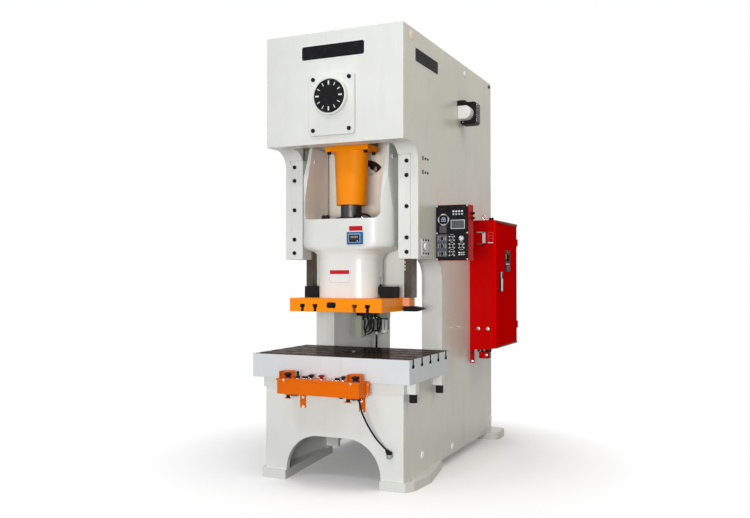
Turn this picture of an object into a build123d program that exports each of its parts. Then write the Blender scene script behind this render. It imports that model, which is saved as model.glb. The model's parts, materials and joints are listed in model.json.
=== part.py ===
from build123d import *
import os
from math import cos, degrees, pi, radians, sin, tan

os.makedirs("parts", exist_ok=True)

# A gap-frame mechanical press, in millimetres. X points to the machine's right, Y to its back and Z up.
# The origin is on the floor, at the centre of the welded frame. The ram stands at bottom dead centre.

# Welded frame
frame_width = 1026
frame_depth = 1972
side_thickness = 40
foot_thickness = 60
bed_height = 693
throat_height = 807
cheek_height = 774
crank_rise = 309
roof_gap = 10.4
bed_slab = 68
bed_lip_side = 10
bed_lip_front = 14
head_plate = 30
throat_front = -261
throat_radius = 130
cheek_front = -725
cheek_radius = 125
column_width = 114
column_back = 815
column_wall = 25
drive_floor_rise = 60
gear_teeth = 44
gear_side_gap = 64.4
gear_addendum = 0.7

throat_bottom = bed_height + throat_height
head_bottom = throat_bottom + cheek_height
crank_height = head_bottom + crank_rise
drive_floor_height = throat_bottom + drive_floor_rise
half_width = frame_width / 2
front_y = -frame_depth / 2
back_y = frame_depth / 2
inner_x = half_width - side_thickness
plate_y = front_y + side_thickness
passage_x = inner_x - column_width

# The main gear fills the space between the side plates, and the head's roof clears it
gear_tip = inner_x - gear_side_gap
gear_module = gear_tip / (gear_teeth / 2 + gear_addendum)
frame_height = crank_height + gear_tip + roof_gap + head_plate

# Arch through the front and back plates of the bed
arch_half_width = 350
arch_height = 309
arch_radius = 240

# Anchor holes in the feet
anchor_outset = 27
anchor_y = 900
anchor_radius = 14
front_foot_inset = 163
front_foot_outset = 77
front_foot_lip = 17
rear_foot_outset = 89
rear_foot_start = 866
rear_foot_end = 1130
rear_foot_round = 70
front_foot_bend = 695
front_foot_bevel = 46
front_foot_bevel_end = 286
leg_rib_thickness = 36
leg_rib_depth = 100
leg_rib_y = -130

anchor_x = half_width + anchor_outset
front_foot_inner = half_width - front_foot_inset
front_foot_reach = half_width + front_foot_outset
rear_foot_reach = half_width + rear_foot_outset

# Ram and its guides
ram_y = -690
die_y = -675
ram_side_step = 15
ram_front = -880
ram_back = -500
ram_corner = 150
barrel_height = 262
cove_height = 115
ram_wall_height = 165
ram_wing_height = 515
ram_wing_foot_y = -858
ram_wing_knee_y = -836
ram_wing_knee_rise = 185
ram_wing_top_y = -737
ram_wing_fillet = 40
ram_wing_depth = 54
ram_wing_top_thickness = 20
ram_wing_root = 45
ram_skirt = 40
guide_housing_reach = 103
guide_seat_reach = 14
guide_bar_proud = 12
guide_bar_width = 57
guide_bar_depth = 100
guide_bar_rise = 440
running_gap = 0.5
gib_front = -737
gib_top_gap = 64

guide_housing_inner = inner_x - guide_housing_reach
guide_seat_outer = inner_x - guide_seat_reach
guide_bar_inner = guide_housing_inner - guide_bar_proud
guide_bar_outer = guide_bar_inner + guide_bar_width
ram_half_width = guide_bar_inner - ram_side_step

# Lower body of the ram, under the box
barrel_half_width = 222
barrel_front = -862
barrel_back = -548
barrel_corner = 140

# Ram plate
ram_plate_lip = 4
ram_plate_front = -958
ram_plate_back = -384
ram_plate_thickness = 91
shut_height = 290
ear_inset = 17
ear_thickness = 58
shank_radius = 32.5
ram_slot_inset = 102
ram_slot_pitch = 97
ram_slot_neck = 20
ram_slot_tee = 36
ram_slot_neck_height = 30
ram_slot_tee_height = 22

# Knockout bar
knockout_reach = 3
knockout_height = 78
knockout_width = 40
knockout_block_front = -745
knockout_block_back = -655
knockout_block_gap = 4
knockout_block_chamfer = 26
knockout_lift = 60

# Bolster
bolster_overhang = 67
bolster_front = -1050
bolster_back = -299
bolster_thickness = 159
bolster_hole = 75
bolster_slot_pitch = 155
bolster_slot_neck = 24
bolster_slot_tee = 42
bolster_slot_neck_depth = 38
bolster_slot_tee_depth = 20
lug_depth = 65
lug_height = 72
lug_bolt_radius = 28
lug_bolt_length = 56
lug_places = {"left": (-780, -450), "right": (-945, -450)}

bolster_half_width = half_width + bolster_overhang
ram_plate_half = ram_half_width + ram_plate_lip
ear_reach = guide_bar_outer - ear_inset
ram_slot_outer = ram_plate_half - ram_slot_inset
ram_slot_inner = ram_slot_outer - ram_slot_pitch
ram_slot_places = (-ram_slot_outer, -ram_slot_inner, ram_slot_inner, ram_slot_outer)
knockout_half_length = ram_half_width + knockout_reach
bolster_top = bed_height + bolster_thickness
ram_plate_bottom = bolster_top + shut_height
ram_plate_top = ram_plate_bottom + ram_plate_thickness
barrel_top = ram_plate_top + barrel_height
ram_box_bottom = barrel_top + cove_height
ram_wall_top = ram_box_bottom + ram_wall_height
ram_wing_top = ram_wall_top + ram_wing_height
guide_bar_top = ram_wall_top + guide_bar_rise
gib_top = head_bottom - gib_top_gap

# Crank drive
stroke = 160
crank_throw = stroke / 2
journal_radius = 75
pin_radius = 100
pin_front = -790
pin_back = -610
crank_web = 24
dial_radius = 110
dial_thickness = 16
dial_face_y = -1046
stub_radius = 35
bush_outer = 112
bush_flange = 140
shaft_fit = 0.05
close_fit = 0.3

# Gears
pinion_teeth = 11
gear_width = 90
gear_front = -340
mesh_spread = 3
pinion_shaft_radius = 50

# Flywheel, belts and motor
flywheel_radius = 395
flywheel_width = 120
flywheel_front = 1010
flywheel_rim = 70
flywheel_web = 40
flywheel_hub = 120
pulley_radius = 105
motor_drop = 232
motor_radius = 130
motor_length = 340
motor_shaft_radius = 24
belt_thickness = 12
belt_width = 80
guard_radius = 425
guard_pulley_radius = 140
guard_depth = 186
guard_wall = 4

# Connecting rod and adjusting screw
rod_y = -697
rod_flange_half = 166
rod_flange_depth = 180
rod_flange_thickness = 38
rod_seat_height = 17
rod_taper_length = 360
rod_top_half = 121
rod_top_depth = 176
rod_top_corner = 84
rod_radius = 105
big_end_outer = 230
big_end_clearance = 3.5
big_end_width = 160
screw_radius = 75
screw_engagement = 183
ball_radius = 97
ball_cover = 66
pocket_floor_rise = 30
collar_rise = 15
adjust_range = 80
adjust_stop_gap = 7

# Two-hand control box
console_half = 298
console_front = -1200
console_depth = 107
console_drop = 81
console_height = 100
console_wall = 3
console_lip = 5
palm_x = 248
palm_setback = 54
palm_y = console_front + palm_setback
palm_head = 28
palm_head_gap = 14
palm_stem = 15
button_stem = 10
guard_ring = 50
guard_height = 44
stem_gap = 0.5

# Operator panel
panel_width = 240
panel_front = -382
panel_depth = 122
panel_drop = 7
panel_height = 392
panel_face_thickness = 6

# Electric cabinet
cabinet_front = 395
cabinet_length = 635
cabinet_depth = 195
cabinet_rise = 117
cabinet_height = 1012
cabinet_wall = 4
door_thickness = 19
door_gap = 0.3
support_width = 34
support_height = 119
support_shelf = 160
handle_inset = 115
handle_rise = 582
switch_inset = 335
switch_rise = 720
hinge_radius = 5
hinge_offset = 4


def export(piece, name):
    """Label a finished piece and write it as its own STEP file."""
    piece.part.label = name
    export_step(piece.part, f"parts/{name}.step")


def facing_front(y):
    """Plane at depth y whose sketch reads (x, z) and whose extrusion runs towards the front."""
    return Plane.XZ.offset(-y)


def side_plane(side, near, far):
    """Plane across X on one side of the machine, from which an extrusion covers near to far."""
    return Plane.YZ.offset(near if side > 0 else -far)


def arch_sketch():
    """Arch of the bed's end plates, open at the floor."""
    with BuildSketch() as arch:
        with Locations((0, arch_height / 2)):
            Rectangle(2 * arch_half_width, arch_height)
        fillet(arch.vertices().group_by(Axis.Y)[-1], arch_radius)
    return arch.sketch


# Side plates, with the feet, lugs and leg ribs welded to them
def side_outline():
    """Gap-frame profile of a side plate in (y, z)."""
    with BuildSketch() as outline:
        with BuildLine():
            Polyline(
                (plate_y, foot_thickness),
                (plate_y, bed_height),
                (throat_front, bed_height),
                (throat_front, throat_bottom),
                (cheek_front, throat_bottom),
                (cheek_front, head_bottom),
                (plate_y, head_bottom),
                (plate_y, frame_height),
                (back_y, frame_height),
                (back_y, foot_thickness),
                close=True,
            )
        make_face()
        throat_corner = outline.vertices().sort_by_distance((throat_front, throat_bottom))[0]
        fillet(throat_corner, throat_radius)
        cheek_corner = outline.vertices().sort_by_distance((cheek_front, head_bottom))[0]
        fillet(cheek_corner, cheek_radius)
    return outline.sketch


for name, side in (("left", -1), ("right", 1)):
    with BuildPart() as side_plate:
        with BuildSketch(side_plane(side, inner_x, half_width)):
            add(side_outline())
        extrude(amount=side_thickness)
        with BuildSketch():
            with BuildLine():
                Polyline(
                    (side * front_foot_inner, front_y - front_foot_lip),
                    (side * (half_width + front_foot_lip), front_y - front_foot_lip),
                    (side * (front_foot_reach - 24), front_y + front_foot_bevel),
                    (side * front_foot_reach, front_y + front_foot_bevel_end),
                    (side * (half_width + 8), front_y + front_foot_bend),
                    (side * inner_x, leg_rib_y),
                    (side * (inner_x - 33), leg_rib_y),
                    close=True,
                )
            make_face()
        extrude(amount=foot_thickness)
        with BuildSketch() as rear_foot:
            foot_width = rear_foot_reach - inner_x + 40
            with Locations((side * (rear_foot_reach - foot_width / 2), (rear_foot_start + rear_foot_end) / 2)):
                Rectangle(foot_width, rear_foot_end - rear_foot_start)
            outer_corners = rear_foot.vertices().sort_by(Axis.X, reverse=side > 0)[0:2]
            fillet(outer_corners, rear_foot_round)
        extrude(amount=foot_thickness)
        with Locations(*[(side * anchor_x, y, foot_thickness) for y in (-anchor_y, anchor_y)]):
            Hole(anchor_radius, depth=foot_thickness)
        rib_height = bed_height - bed_slab - foot_thickness
        with Locations((
            side * (inner_x - leg_rib_depth / 2),
            leg_rib_y - leg_rib_thickness / 2,
            foot_thickness + rib_height / 2,
        )):
            Box(leg_rib_depth, leg_rib_thickness, rib_height)
        lug_reach = bolster_half_width - half_width
        with Locations(*[
            (side * (half_width + lug_reach / 2), y + lug_depth / 2, bed_height - lug_height / 2)
            for y in lug_places[name]
        ]):
            Box(lug_reach, lug_depth, lug_height)
    export(side_plate, f"side_plate_{name}")

# Columns: a box behind the throat, the guide housing in front of it and the corner block under the head
guide_bar_front = ram_back - guide_bar_depth
housing_back = ram_back + running_gap + column_wall * 3.36
housing_top = head_bottom + column_wall
corner_start = cheek_front - cheek_radius


def column_outline():
    """Box part of a column in (y, z), behind the throat and behind the guide housing."""
    with BuildSketch() as outline:
        with BuildLine():
            Polyline(
                (throat_front, bed_height),
                (throat_front, throat_bottom),
                (housing_back, throat_bottom),
                (housing_back, head_bottom),
                (column_back, head_bottom),
                (column_back, bed_height),
                close=True,
            )
        make_face()
        throat_corner = outline.vertices().sort_by_distance((throat_front, throat_bottom))[0]
        fillet(throat_corner, throat_radius)
    return outline.sketch


for name, side in (("left", -1), ("right", 1)):
    with BuildPart() as column:
        with BuildSketch(side_plane(side, passage_x, inner_x)):
            add(column_outline())
        extrude(amount=inner_x - passage_x)
        cavity_inner = passage_x + column_wall
        with BuildSketch(side_plane(side, cavity_inner, inner_x)):
            add(column_outline())
            offset(amount=-column_wall, mode=Mode.REPLACE)
        extrude(amount=inner_x - cavity_inner, mode=Mode.SUBTRACT)
        with BuildSketch(Plane.XY.offset(throat_bottom)):
            with BuildLine():
                Polyline(
                    (side * guide_seat_outer, cheek_front),
                    (side * inner_x, cheek_front),
                    (side * inner_x, housing_back),
                    (side * guide_housing_inner, housing_back),
                    (side * guide_housing_inner, ram_back + running_gap),
                    (side * (guide_bar_outer + running_gap), ram_back + running_gap),
                    (side * (guide_bar_outer + running_gap), guide_bar_front - running_gap),
                    (side * guide_seat_outer, guide_bar_front - running_gap),
                    close=True,
                )
            make_face()
        extrude(amount=housing_top - throat_bottom)
        with BuildSketch(side_plane(side, guide_housing_inner, inner_x)):
            with BuildLine():
                Polyline(
                    (plate_y, head_bottom),
                    (corner_start, head_bottom),
                    (corner_start, gib_top),
                    (cheek_front, gib_top),
                    (cheek_front, housing_top),
                    (plate_y, housing_top),
                    close=True,
                )
            make_face()
            with Locations((corner_start, head_bottom - cheek_radius)):
                Circle(cheek_radius, mode=Mode.SUBTRACT)
        extrude(amount=inner_x - guide_housing_inner)
    export(column, f"column_{name}")

# Gibs: bars bolted to the cheeks, which guide the ram's bars from the front
for name, side in (("left", -1), ("right", 1)):
    gib_width = guide_seat_outer - guide_housing_inner
    gib_depth = guide_bar_front - running_gap - gib_front
    with BuildPart() as gib:
        with Locations((
            side * (guide_housing_inner + gib_width / 2),
            gib_front + gib_depth / 2,
            (throat_bottom + gib_top) / 2,
        )):
            Box(gib_width, gib_depth, gib_top - throat_bottom)
        chamfer(gib.faces().sort_by(Axis.Y)[0].edges(), 3)
    export(gib, f"gib_{name}")

# Head: front plate, roof and the lip of its floor, welded to one shell
bore_radius = bush_outer + 0.1
with BuildPart() as head_shell:
    with BuildSketch(facing_front(plate_y)):
        with Locations((0, (head_bottom + frame_height) / 2)):
            Rectangle(frame_width, frame_height - head_bottom)
        with Locations((0, crank_height)):
            Circle(bore_radius, mode=Mode.SUBTRACT)
    extrude(amount=side_thickness)
    with Locations((0, 0, frame_height - head_plate / 2)):
        Box(2 * inner_x, 2 * (back_y - side_thickness), head_plate)
    with Locations((0, plate_y + side_thickness, head_bottom + column_wall / 2)):
        Box(2 * guide_housing_inner, 2 * side_thickness, column_wall)
export(head_shell, "head_shell")

# Cross wall behind the ram, with the rear crank bearing, a lens-shaped opening and the pinion's bearing boss
web_back = housing_back
web_rise = 177
web_top = crank_height + web_rise
lens_half = 118
lens_height = 58
lens_drop = 104
lens_z = head_bottom - lens_drop
pitch_gear = gear_module * gear_teeth / 2
pitch_pinion = gear_module * pinion_teeth / 2
pinion_height = crank_height - pitch_gear - pitch_pinion - mesh_spread
boss_radius = pinion_shaft_radius + 30
boss_length = 40
pinion_bore = pinion_shaft_radius + shaft_fit
with BuildPart() as throat_web:
    with BuildSketch(facing_front(web_back)) as web_face:
        with Locations((0, (throat_bottom + housing_top) / 2)):
            Rectangle(2 * guide_housing_inner, housing_top - throat_bottom)
        with Locations((0, (housing_top + web_top) / 2)):
            Rectangle(2 * inner_x, web_top - housing_top)
        with Locations((0, crank_height)):
            Circle(bore_radius, mode=Mode.SUBTRACT)
        with BuildLine():
            ThreePointArc((-lens_half, lens_z), (0, lens_z + lens_height), (lens_half, lens_z))
            ThreePointArc((lens_half, lens_z), (0, lens_z - lens_height), (-lens_half, lens_z))
        make_face(mode=Mode.SUBTRACT)
    extrude(amount=column_wall)
    with BuildSketch(facing_front(web_back + boss_length)):
        with Locations((0, pinion_height)):
            Circle(boss_radius)
            Circle(pinion_bore, mode=Mode.SUBTRACT)
    extrude(amount=boss_length)
export(throat_web, "throat_web")

# Rear plate with the floor of the drive space, the pinion's rear bearing boss and the motor's seat
motor_height = frame_height - motor_drop
motor_hole = 60
with BuildPart() as rear_plate:
    with BuildSketch(facing_front(back_y)):
        with Locations((0, (drive_floor_height + frame_height) / 2)):
            Rectangle(2 * inner_x, frame_height - drive_floor_height)
        with Locations((0, pinion_height)):
            Circle(boss_radius - 5, mode=Mode.SUBTRACT)
        with Locations((0, motor_height)):
            Circle(motor_hole, mode=Mode.SUBTRACT)
    extrude(amount=side_thickness)
    with BuildSketch(facing_front(back_y)):
        with Locations((0, pinion_height)):
            Circle(boss_radius)
            Circle(pinion_bore, mode=Mode.SUBTRACT)
    extrude(amount=side_thickness + boss_length)
    floor_length = back_y - side_thickness - web_back
    with Locations((0, web_back + floor_length / 2, drive_floor_height + head_plate / 2)):
        Box(2 * passage_x, floor_length, head_plate)
export(rear_plate, "rear_plate")

# End plates of the bed, with the arch
for name, y in (("bed_front", plate_y), ("bed_rear", back_y)):
    width = frame_width if name == "bed_front" else 2 * inner_x
    top = bed_height - bed_slab
    with BuildPart() as bed_plate:
        with BuildSketch(facing_front(y)):
            with Locations((0, (foot_thickness + top) / 2)):
                Rectangle(width, top - foot_thickness)
            add(arch_sketch(), mode=Mode.SUBTRACT)
        extrude(amount=side_thickness)
    export(bed_plate, name)

# Bed slab: a proud lip across the front, then between the side plates
lip_front = front_y - bed_lip_front
with BuildPart() as bed_top:
    with BuildSketch(Plane.XY.offset(bed_height - bed_slab)):
        with Locations((0, (lip_front + plate_y) / 2)):
            Rectangle(frame_width + 2 * bed_lip_side, plate_y - lip_front)
        with Locations((0, (plate_y + back_y) / 2)):
            Rectangle(2 * inner_x, back_y - plate_y)
        with Locations((0, die_y)):
            Circle(bolster_hole + 35, mode=Mode.SUBTRACT)
    extrude(amount=bed_slab)
export(bed_top, "bed_top")

# Bolster with five T-slots along X and its drop hole
bolster_depth = bolster_back - bolster_front
bolster_y = (bolster_front + bolster_back) / 2
slot_places = [bolster_y + bolster_slot_pitch * k for k in range(-2, 3)]
with BuildPart() as bolster:
    with BuildSketch(Plane.YZ.offset(-bolster_half_width)):
        with Locations((bolster_y, bed_height + bolster_thickness / 2)):
            Rectangle(bolster_depth, bolster_thickness)
        with Locations(*[(y, bolster_top - bolster_slot_neck_depth / 2) for y in slot_places]):
            Rectangle(bolster_slot_neck, bolster_slot_neck_depth, mode=Mode.SUBTRACT)
        tee_z = bolster_top - bolster_slot_neck_depth - bolster_slot_tee_depth / 2
        with Locations(*[(y, tee_z) for y in slot_places]):
            Rectangle(bolster_slot_tee, bolster_slot_tee_depth, mode=Mode.SUBTRACT)
    extrude(amount=2 * bolster_half_width)
    with Locations((0, die_y, bolster_top)):
        Hole(bolster_hole, depth=bolster_thickness)
export(bolster, "bolster")

with BuildPart() as bolster_bolts:
    for name, side in (("left", -1), ("right", 1)):
        for y in lug_places[name]:
            with BuildSketch(Plane.XY.offset(bed_height - lug_height - lug_bolt_length)):
                with Locations((side * (half_width + lug_reach / 2 + 4), y + lug_depth / 2)):
                    RegularPolygon(lug_bolt_radius, 6)
            extrude(amount=lug_bolt_length)
export(bolster_bolts, "bolster_bolts")

# Cover plate round the crank's front end, with a raised ring for the dial
cover_half_width = 172
cover_below = 258
cover_above = 160
cover_bottom = crank_height - cover_below
cover_top = crank_height + cover_above
cover_thickness = 24
cover_corner = 25
ring_height = 16
ring_outer = dial_radius + 15
ring_inner = dial_radius + 3
with BuildPart() as cover_plate:
    with BuildSketch(facing_front(front_y)) as cover_face:
        with Locations((0, (cover_bottom + cover_top) / 2)):
            RectangleRounded(2 * cover_half_width, cover_top - cover_bottom, cover_corner)
        with Locations((0, crank_height)):
            Circle(stub_radius + 4, mode=Mode.SUBTRACT)
    extrude(amount=cover_thickness)
    chamfer(cover_plate.faces().sort_by(Axis.Y)[0].outer_wire().edges(), 4)
    with BuildSketch(facing_front(front_y - cover_thickness)):
        with Locations((0, crank_height)):
            Circle(ring_outer)
            Circle(ring_inner, mode=Mode.SUBTRACT)
    extrude(amount=ring_height)
export(cover_plate, "cover_plate")

# Socket screws of the cover plate and the gibs
screw_head_radius = 14
screw_head_height = 7
screw_key_radius = 8
gib_screw_ends = (47, 144)
gib_screw_heights = [throat_bottom + end for end in gib_screw_ends] + [gib_top - end for end in gib_screw_ends]
gib_screw_heights.append((throat_bottom + gib_top) / 2)
gib_screw_x = guide_seat_outer - 25
cover_screw_inset = 37
cover_screw_x = cover_half_width - cover_screw_inset
cover_screw_heights = (cover_bottom + cover_screw_inset, cover_top - cover_screw_inset)
screw_seats = [
    (x, z, front_y - cover_thickness) for x in (-cover_screw_x, cover_screw_x) for z in cover_screw_heights
]
screw_seats += [(x, z, gib_front) for x in (-gib_screw_x, gib_screw_x) for z in gib_screw_heights]
with BuildPart() as socket_screws:
    for x, z, seat_y in screw_seats:
        with BuildSketch(facing_front(seat_y)):
            with Locations((x, z)):
                Circle(screw_head_radius)
        extrude(amount=screw_head_height)
        with BuildSketch(facing_front(seat_y - screw_head_height + 5)):
            with Locations((x, z)):
                RegularPolygon(screw_key_radius, 6)
        extrude(amount=6, mode=Mode.SUBTRACT)
export(socket_screws, "socket_screws")

# Flanged bearing bushes of the crankshaft
front_bush_back = plate_y + 60
for name, seat_y, length in (("front_bearing", plate_y, 75), ("rear_bearing", web_back, 85)):
    with BuildPart() as bearing:
        with BuildSketch(facing_front(seat_y + bush_outer - journal_radius)):
            with Locations((0, crank_height)):
                Circle(bush_outer)
                Circle(journal_radius + shaft_fit, mode=Mode.SUBTRACT)
        extrude(amount=length)
        with BuildSketch(facing_front(seat_y + 20)):
            with Locations((0, crank_height)):
                Circle(bush_flange)
                Circle(journal_radius + shaft_fit, mode=Mode.SUBTRACT)
        extrude(amount=20)
    export(bearing, name)

# Crankshaft: journals, two webs and the offset pin, which points down at bottom dead centre
pin_height = crank_height - crank_throw
gear_back = gear_front + gear_width


def shaft(y_front, y_back, radius, height):
    """Round length of shaft between two depths."""
    with BuildSketch(facing_front(y_back)) as disc:
        with Locations((0, height)):
            Circle(radius)
    extrude(disc.sketch, amount=y_back - y_front)


with BuildPart() as crankshaft:
    shaft(dial_face_y + dial_thickness, plate_y - 30, stub_radius, crank_height)
    shaft(plate_y - 30, pin_front - crank_web, journal_radius, crank_height)
    shaft(pin_back + crank_web, gear_back, journal_radius, crank_height)
    shaft(pin_front, pin_back, pin_radius, pin_height)
    for web_y in (pin_front, pin_back + crank_web):
        with BuildSketch(facing_front(web_y)):
            with BuildLine():
                CenterArc((0, crank_height), journal_radius + 30, 0, 360)
                CenterArc((0, pin_height), pin_radius + 15, 0, 360)
            make_hull()
        extrude(amount=crank_web)
export(crankshaft, "crankshaft")

with BuildPart() as dial:
    with BuildSketch(facing_front(dial_face_y + dial_thickness)):
        with Locations((0, crank_height)):
            Circle(dial_radius)
    extrude(amount=dial_thickness)
    chamfer(dial.faces().sort_by(Axis.Y)[0].edges(), 2)
export(dial, "dial")


def gear_points(teeth, centre_z, phase):
    """Outline of a straight-flanked gear in (x, z); phase is the angle of the first tooth."""
    pitch = gear_module * teeth / 2
    tip = pitch + gear_addendum * gear_module
    root = pitch - 0.95 * gear_module
    step = 2 * pi / teeth
    profile = ((root, -0.29), (tip, -0.12), (tip, 0.12), (root, 0.29))
    points = []
    for tooth in range(teeth):
        for radius, share in profile:
            angle = phase + step * (tooth + share)
            points.append((radius * cos(angle), centre_z + radius * sin(angle)))
    return points


gear_hub = 120
gear_web = 30
gear_rim = 60
with BuildPart() as main_gear:
    with BuildSketch(facing_front(gear_back)):
        with BuildLine():
            Polyline(*gear_points(gear_teeth, crank_height, -pi / 2), close=True)
        make_face()
        with Locations((0, crank_height)):
            Circle(journal_radius, mode=Mode.SUBTRACT)
    extrude(amount=gear_width)
    pocket_depth = (gear_width - gear_web) / 2
    for pocket_y in (gear_back, gear_front + pocket_depth):
        with BuildSketch(facing_front(pocket_y)):
            with Locations((0, crank_height)):
                Circle(pitch_gear - gear_rim)
                Circle(gear_hub, mode=Mode.SUBTRACT)
        extrude(amount=pocket_depth, mode=Mode.SUBTRACT)
export(main_gear, "main_gear")

# Pinion shaft, with the clutch disc behind the flywheel
clutch_radius = 180
clutch_width = 30
flywheel_back = flywheel_front + flywheel_width
shaft_end = flywheel_back + clutch_width + 4
with BuildPart() as pinion_shaft:
    shaft(web_back + 1, shaft_end, pinion_shaft_radius, pinion_height)
    with BuildSketch(facing_front(gear_back + 5)):
        with BuildLine():
            Polyline(*gear_points(pinion_teeth, pinion_height, pi / 2 + pi / pinion_teeth), close=True)
        make_face()
    extrude(amount=gear_width + 10)
    shaft(flywheel_back + 2, flywheel_back + 2 + clutch_width, clutch_radius, pinion_height)
export(pinion_shaft, "pinion_shaft")

with BuildPart() as flywheel:
    with BuildSketch(facing_front(flywheel_back)):
        with Locations((0, pinion_height)):
            Circle(flywheel_radius)
            Circle(pinion_shaft_radius + shaft_fit, mode=Mode.SUBTRACT)
    extrude(amount=flywheel_width)
    recess = (flywheel_width - flywheel_web) / 2
    for recess_y in (flywheel_back, flywheel_front + recess):
        with BuildSketch(facing_front(recess_y)):
            with Locations((0, pinion_height)):
                Circle(flywheel_radius - flywheel_rim)
                Circle(flywheel_hub, mode=Mode.SUBTRACT)
        extrude(amount=recess, mode=Mode.SUBTRACT)
export(flywheel, "flywheel")

# Motor inside the head, flanged to the rear plate, and its pulley
motor_back = back_y - side_thickness
with BuildPart() as motor:
    with BuildSketch(facing_front(motor_back)):
        with Locations((0, motor_height)):
            Circle(motor_radius + 20)
            Circle(motor_shaft_radius + 1, mode=Mode.SUBTRACT)
    extrude(amount=20)
    with BuildSketch(facing_front(motor_back - 20)):
        with Locations((0, motor_height)):
            Circle(motor_radius)
            Circle(motor_shaft_radius + shaft_fit, mode=Mode.SUBTRACT)
    extrude(amount=motor_length)
export(motor, "motor")

with BuildPart() as motor_pulley:
    shaft(motor_back - motor_length, flywheel_back, motor_shaft_radius, motor_height)
    shaft(flywheel_front, flywheel_back, pulley_radius, motor_height)
export(motor_pulley, "motor_pulley")


def belt_line(grow):
    """Loop round flywheel and pulley, as a face grown outwards by the given amount."""
    with BuildSketch() as loop:
        with BuildLine():
            CenterArc((0, pinion_height), flywheel_radius + grow, 0, 360)
            CenterArc((0, motor_height), pulley_radius + grow, 0, 360)
        make_hull()
    return loop.sketch


belt_y = flywheel_front + (flywheel_width + belt_width) / 2
with BuildPart() as v_belts:
    with BuildSketch(facing_front(belt_y)):
        add(belt_line(close_fit + belt_thickness))
        add(belt_line(close_fit), mode=Mode.SUBTRACT)
    extrude(amount=belt_width)
export(v_belts, "v_belts")


def guard_line(inset):
    """Outline of the belt guard, shrunk by the given amount."""
    with BuildSketch() as loop:
        with BuildLine():
            CenterArc((0, pinion_height), guard_radius - inset, 0, 360)
            CenterArc((0, motor_height), guard_pulley_radius - inset, 0, 360)
        make_hull()
    return loop.sketch


with BuildPart() as flywheel_guard:
    with BuildSketch(facing_front(back_y + guard_depth)):
        add(guard_line(0))
    extrude(amount=guard_depth)
    with BuildSketch(facing_front(back_y + guard_depth - guard_wall)):
        add(guard_line(guard_wall))
    extrude(amount=guard_depth - guard_wall, mode=Mode.SUBTRACT)
export(flywheel_guard, "flywheel_guard")

# Connecting rod: a flanged casting whose flat-sided neck blends into a tube round the adjusting screw
screw_bore = screw_radius + close_fit
rod_flange_top = pin_height - big_end_outer + rod_seat_height
rod_flange_bottom = rod_flange_top - rod_flange_thickness
rod_blend = rod_flange_bottom - rod_taper_length
collar_top = ram_wall_top + collar_rise
rod_bottom = collar_top + adjust_range + adjust_stop_gap
screw_top = rod_bottom + screw_engagement
with BuildPart() as connecting_rod:
    with BuildSketch(Plane.XY.offset(rod_flange_bottom)):
        with Locations((0, rod_y)):
            RectangleRounded(2 * rod_flange_half, rod_flange_depth, 8)
    extrude(amount=rod_flange_top - rod_flange_bottom)
    with BuildSketch(Plane.XY.offset(rod_blend)):
        with Locations((0, rod_y)):
            Circle(rod_radius)
    with BuildSketch(Plane.XY.offset(rod_flange_bottom)):
        with Locations((0, rod_y)):
            RectangleRounded(2 * rod_top_half, rod_top_depth, rod_top_corner)
    loft()
    with BuildSketch(Plane.XY.offset(rod_bottom)):
        with Locations((0, rod_y)):
            Circle(rod_radius)
    extrude(amount=rod_blend - rod_bottom)
    with BuildSketch(Plane.XY.offset(rod_bottom)):
        with Locations((0, rod_y)):
            Circle(screw_bore)
    extrude(amount=screw_top + adjust_range + 10 - rod_bottom, mode=Mode.SUBTRACT)
export(connecting_rod, "connecting_rod")

# Big end: the ring round the crank pin, wide enough for the pin's sideways travel
big_end_bore = pin_radius + crank_throw + big_end_clearance
with BuildPart() as rod_big_end:
    with BuildSketch(facing_front(rod_y + big_end_width / 2)):
        with Locations((0, pin_height)):
            Circle(big_end_outer)
        with Locations((0, rod_flange_top + 40)):
            Rectangle(2 * rod_flange_half, 80)
        with Locations((0, rod_flange_top - 50)):
            Rectangle(3 * rod_flange_half, 100, mode=Mode.SUBTRACT)
        with Locations((0, pin_height)):
            Circle(big_end_bore, mode=Mode.SUBTRACT)
    extrude(amount=big_end_width)
export(rod_big_end, "rod_big_end")

rod_bolt_x = 140
rod_bolt_y = 68
with BuildPart() as rod_bolts:
    with BuildSketch(Plane.XY.offset(rod_flange_bottom - 18)):
        with Locations(*[(x, rod_y + y) for x in (-rod_bolt_x, rod_bolt_x) for y in (-rod_bolt_y, rod_bolt_y)]):
            Circle(14)
    extrude(amount=18)
export(rod_bolts, "rod_bolts")

# Adjusting screw with its ball end, and the collar that holds the ball in the ram
pocket_floor = ram_box_bottom + pocket_floor_rise
ball_seat_height = pocket_floor - ball_cover - 2 * ball_radius
ball_height = ball_seat_height + close_fit + ball_radius
with BuildPart() as adjusting_screw:
    with BuildSketch(Plane.XY.offset(ball_height)):
        with Locations((0, rod_y)):
            Circle(screw_radius)
    extrude(amount=screw_top - ball_height)
    with Locations((0, rod_y, ball_height)):
        Sphere(ball_radius)
    chamfer(adjusting_screw.edges().group_by(Axis.Z)[-1], 4)
export(adjusting_screw, "adjusting_screw")

with BuildPart() as ball_retainer:
    with BuildSketch(Plane.XY.offset(pocket_floor)):
        with Locations((0, rod_y)):
            Circle(screw_radius + 33)
            Circle(screw_bore, mode=Mode.SUBTRACT)
    extrude(amount=collar_top - pocket_floor)
    chamfer(ball_retainer.edges().group_by(Axis.Z)[-1], 4)
export(ball_retainer, "ball_retainer")


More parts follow.
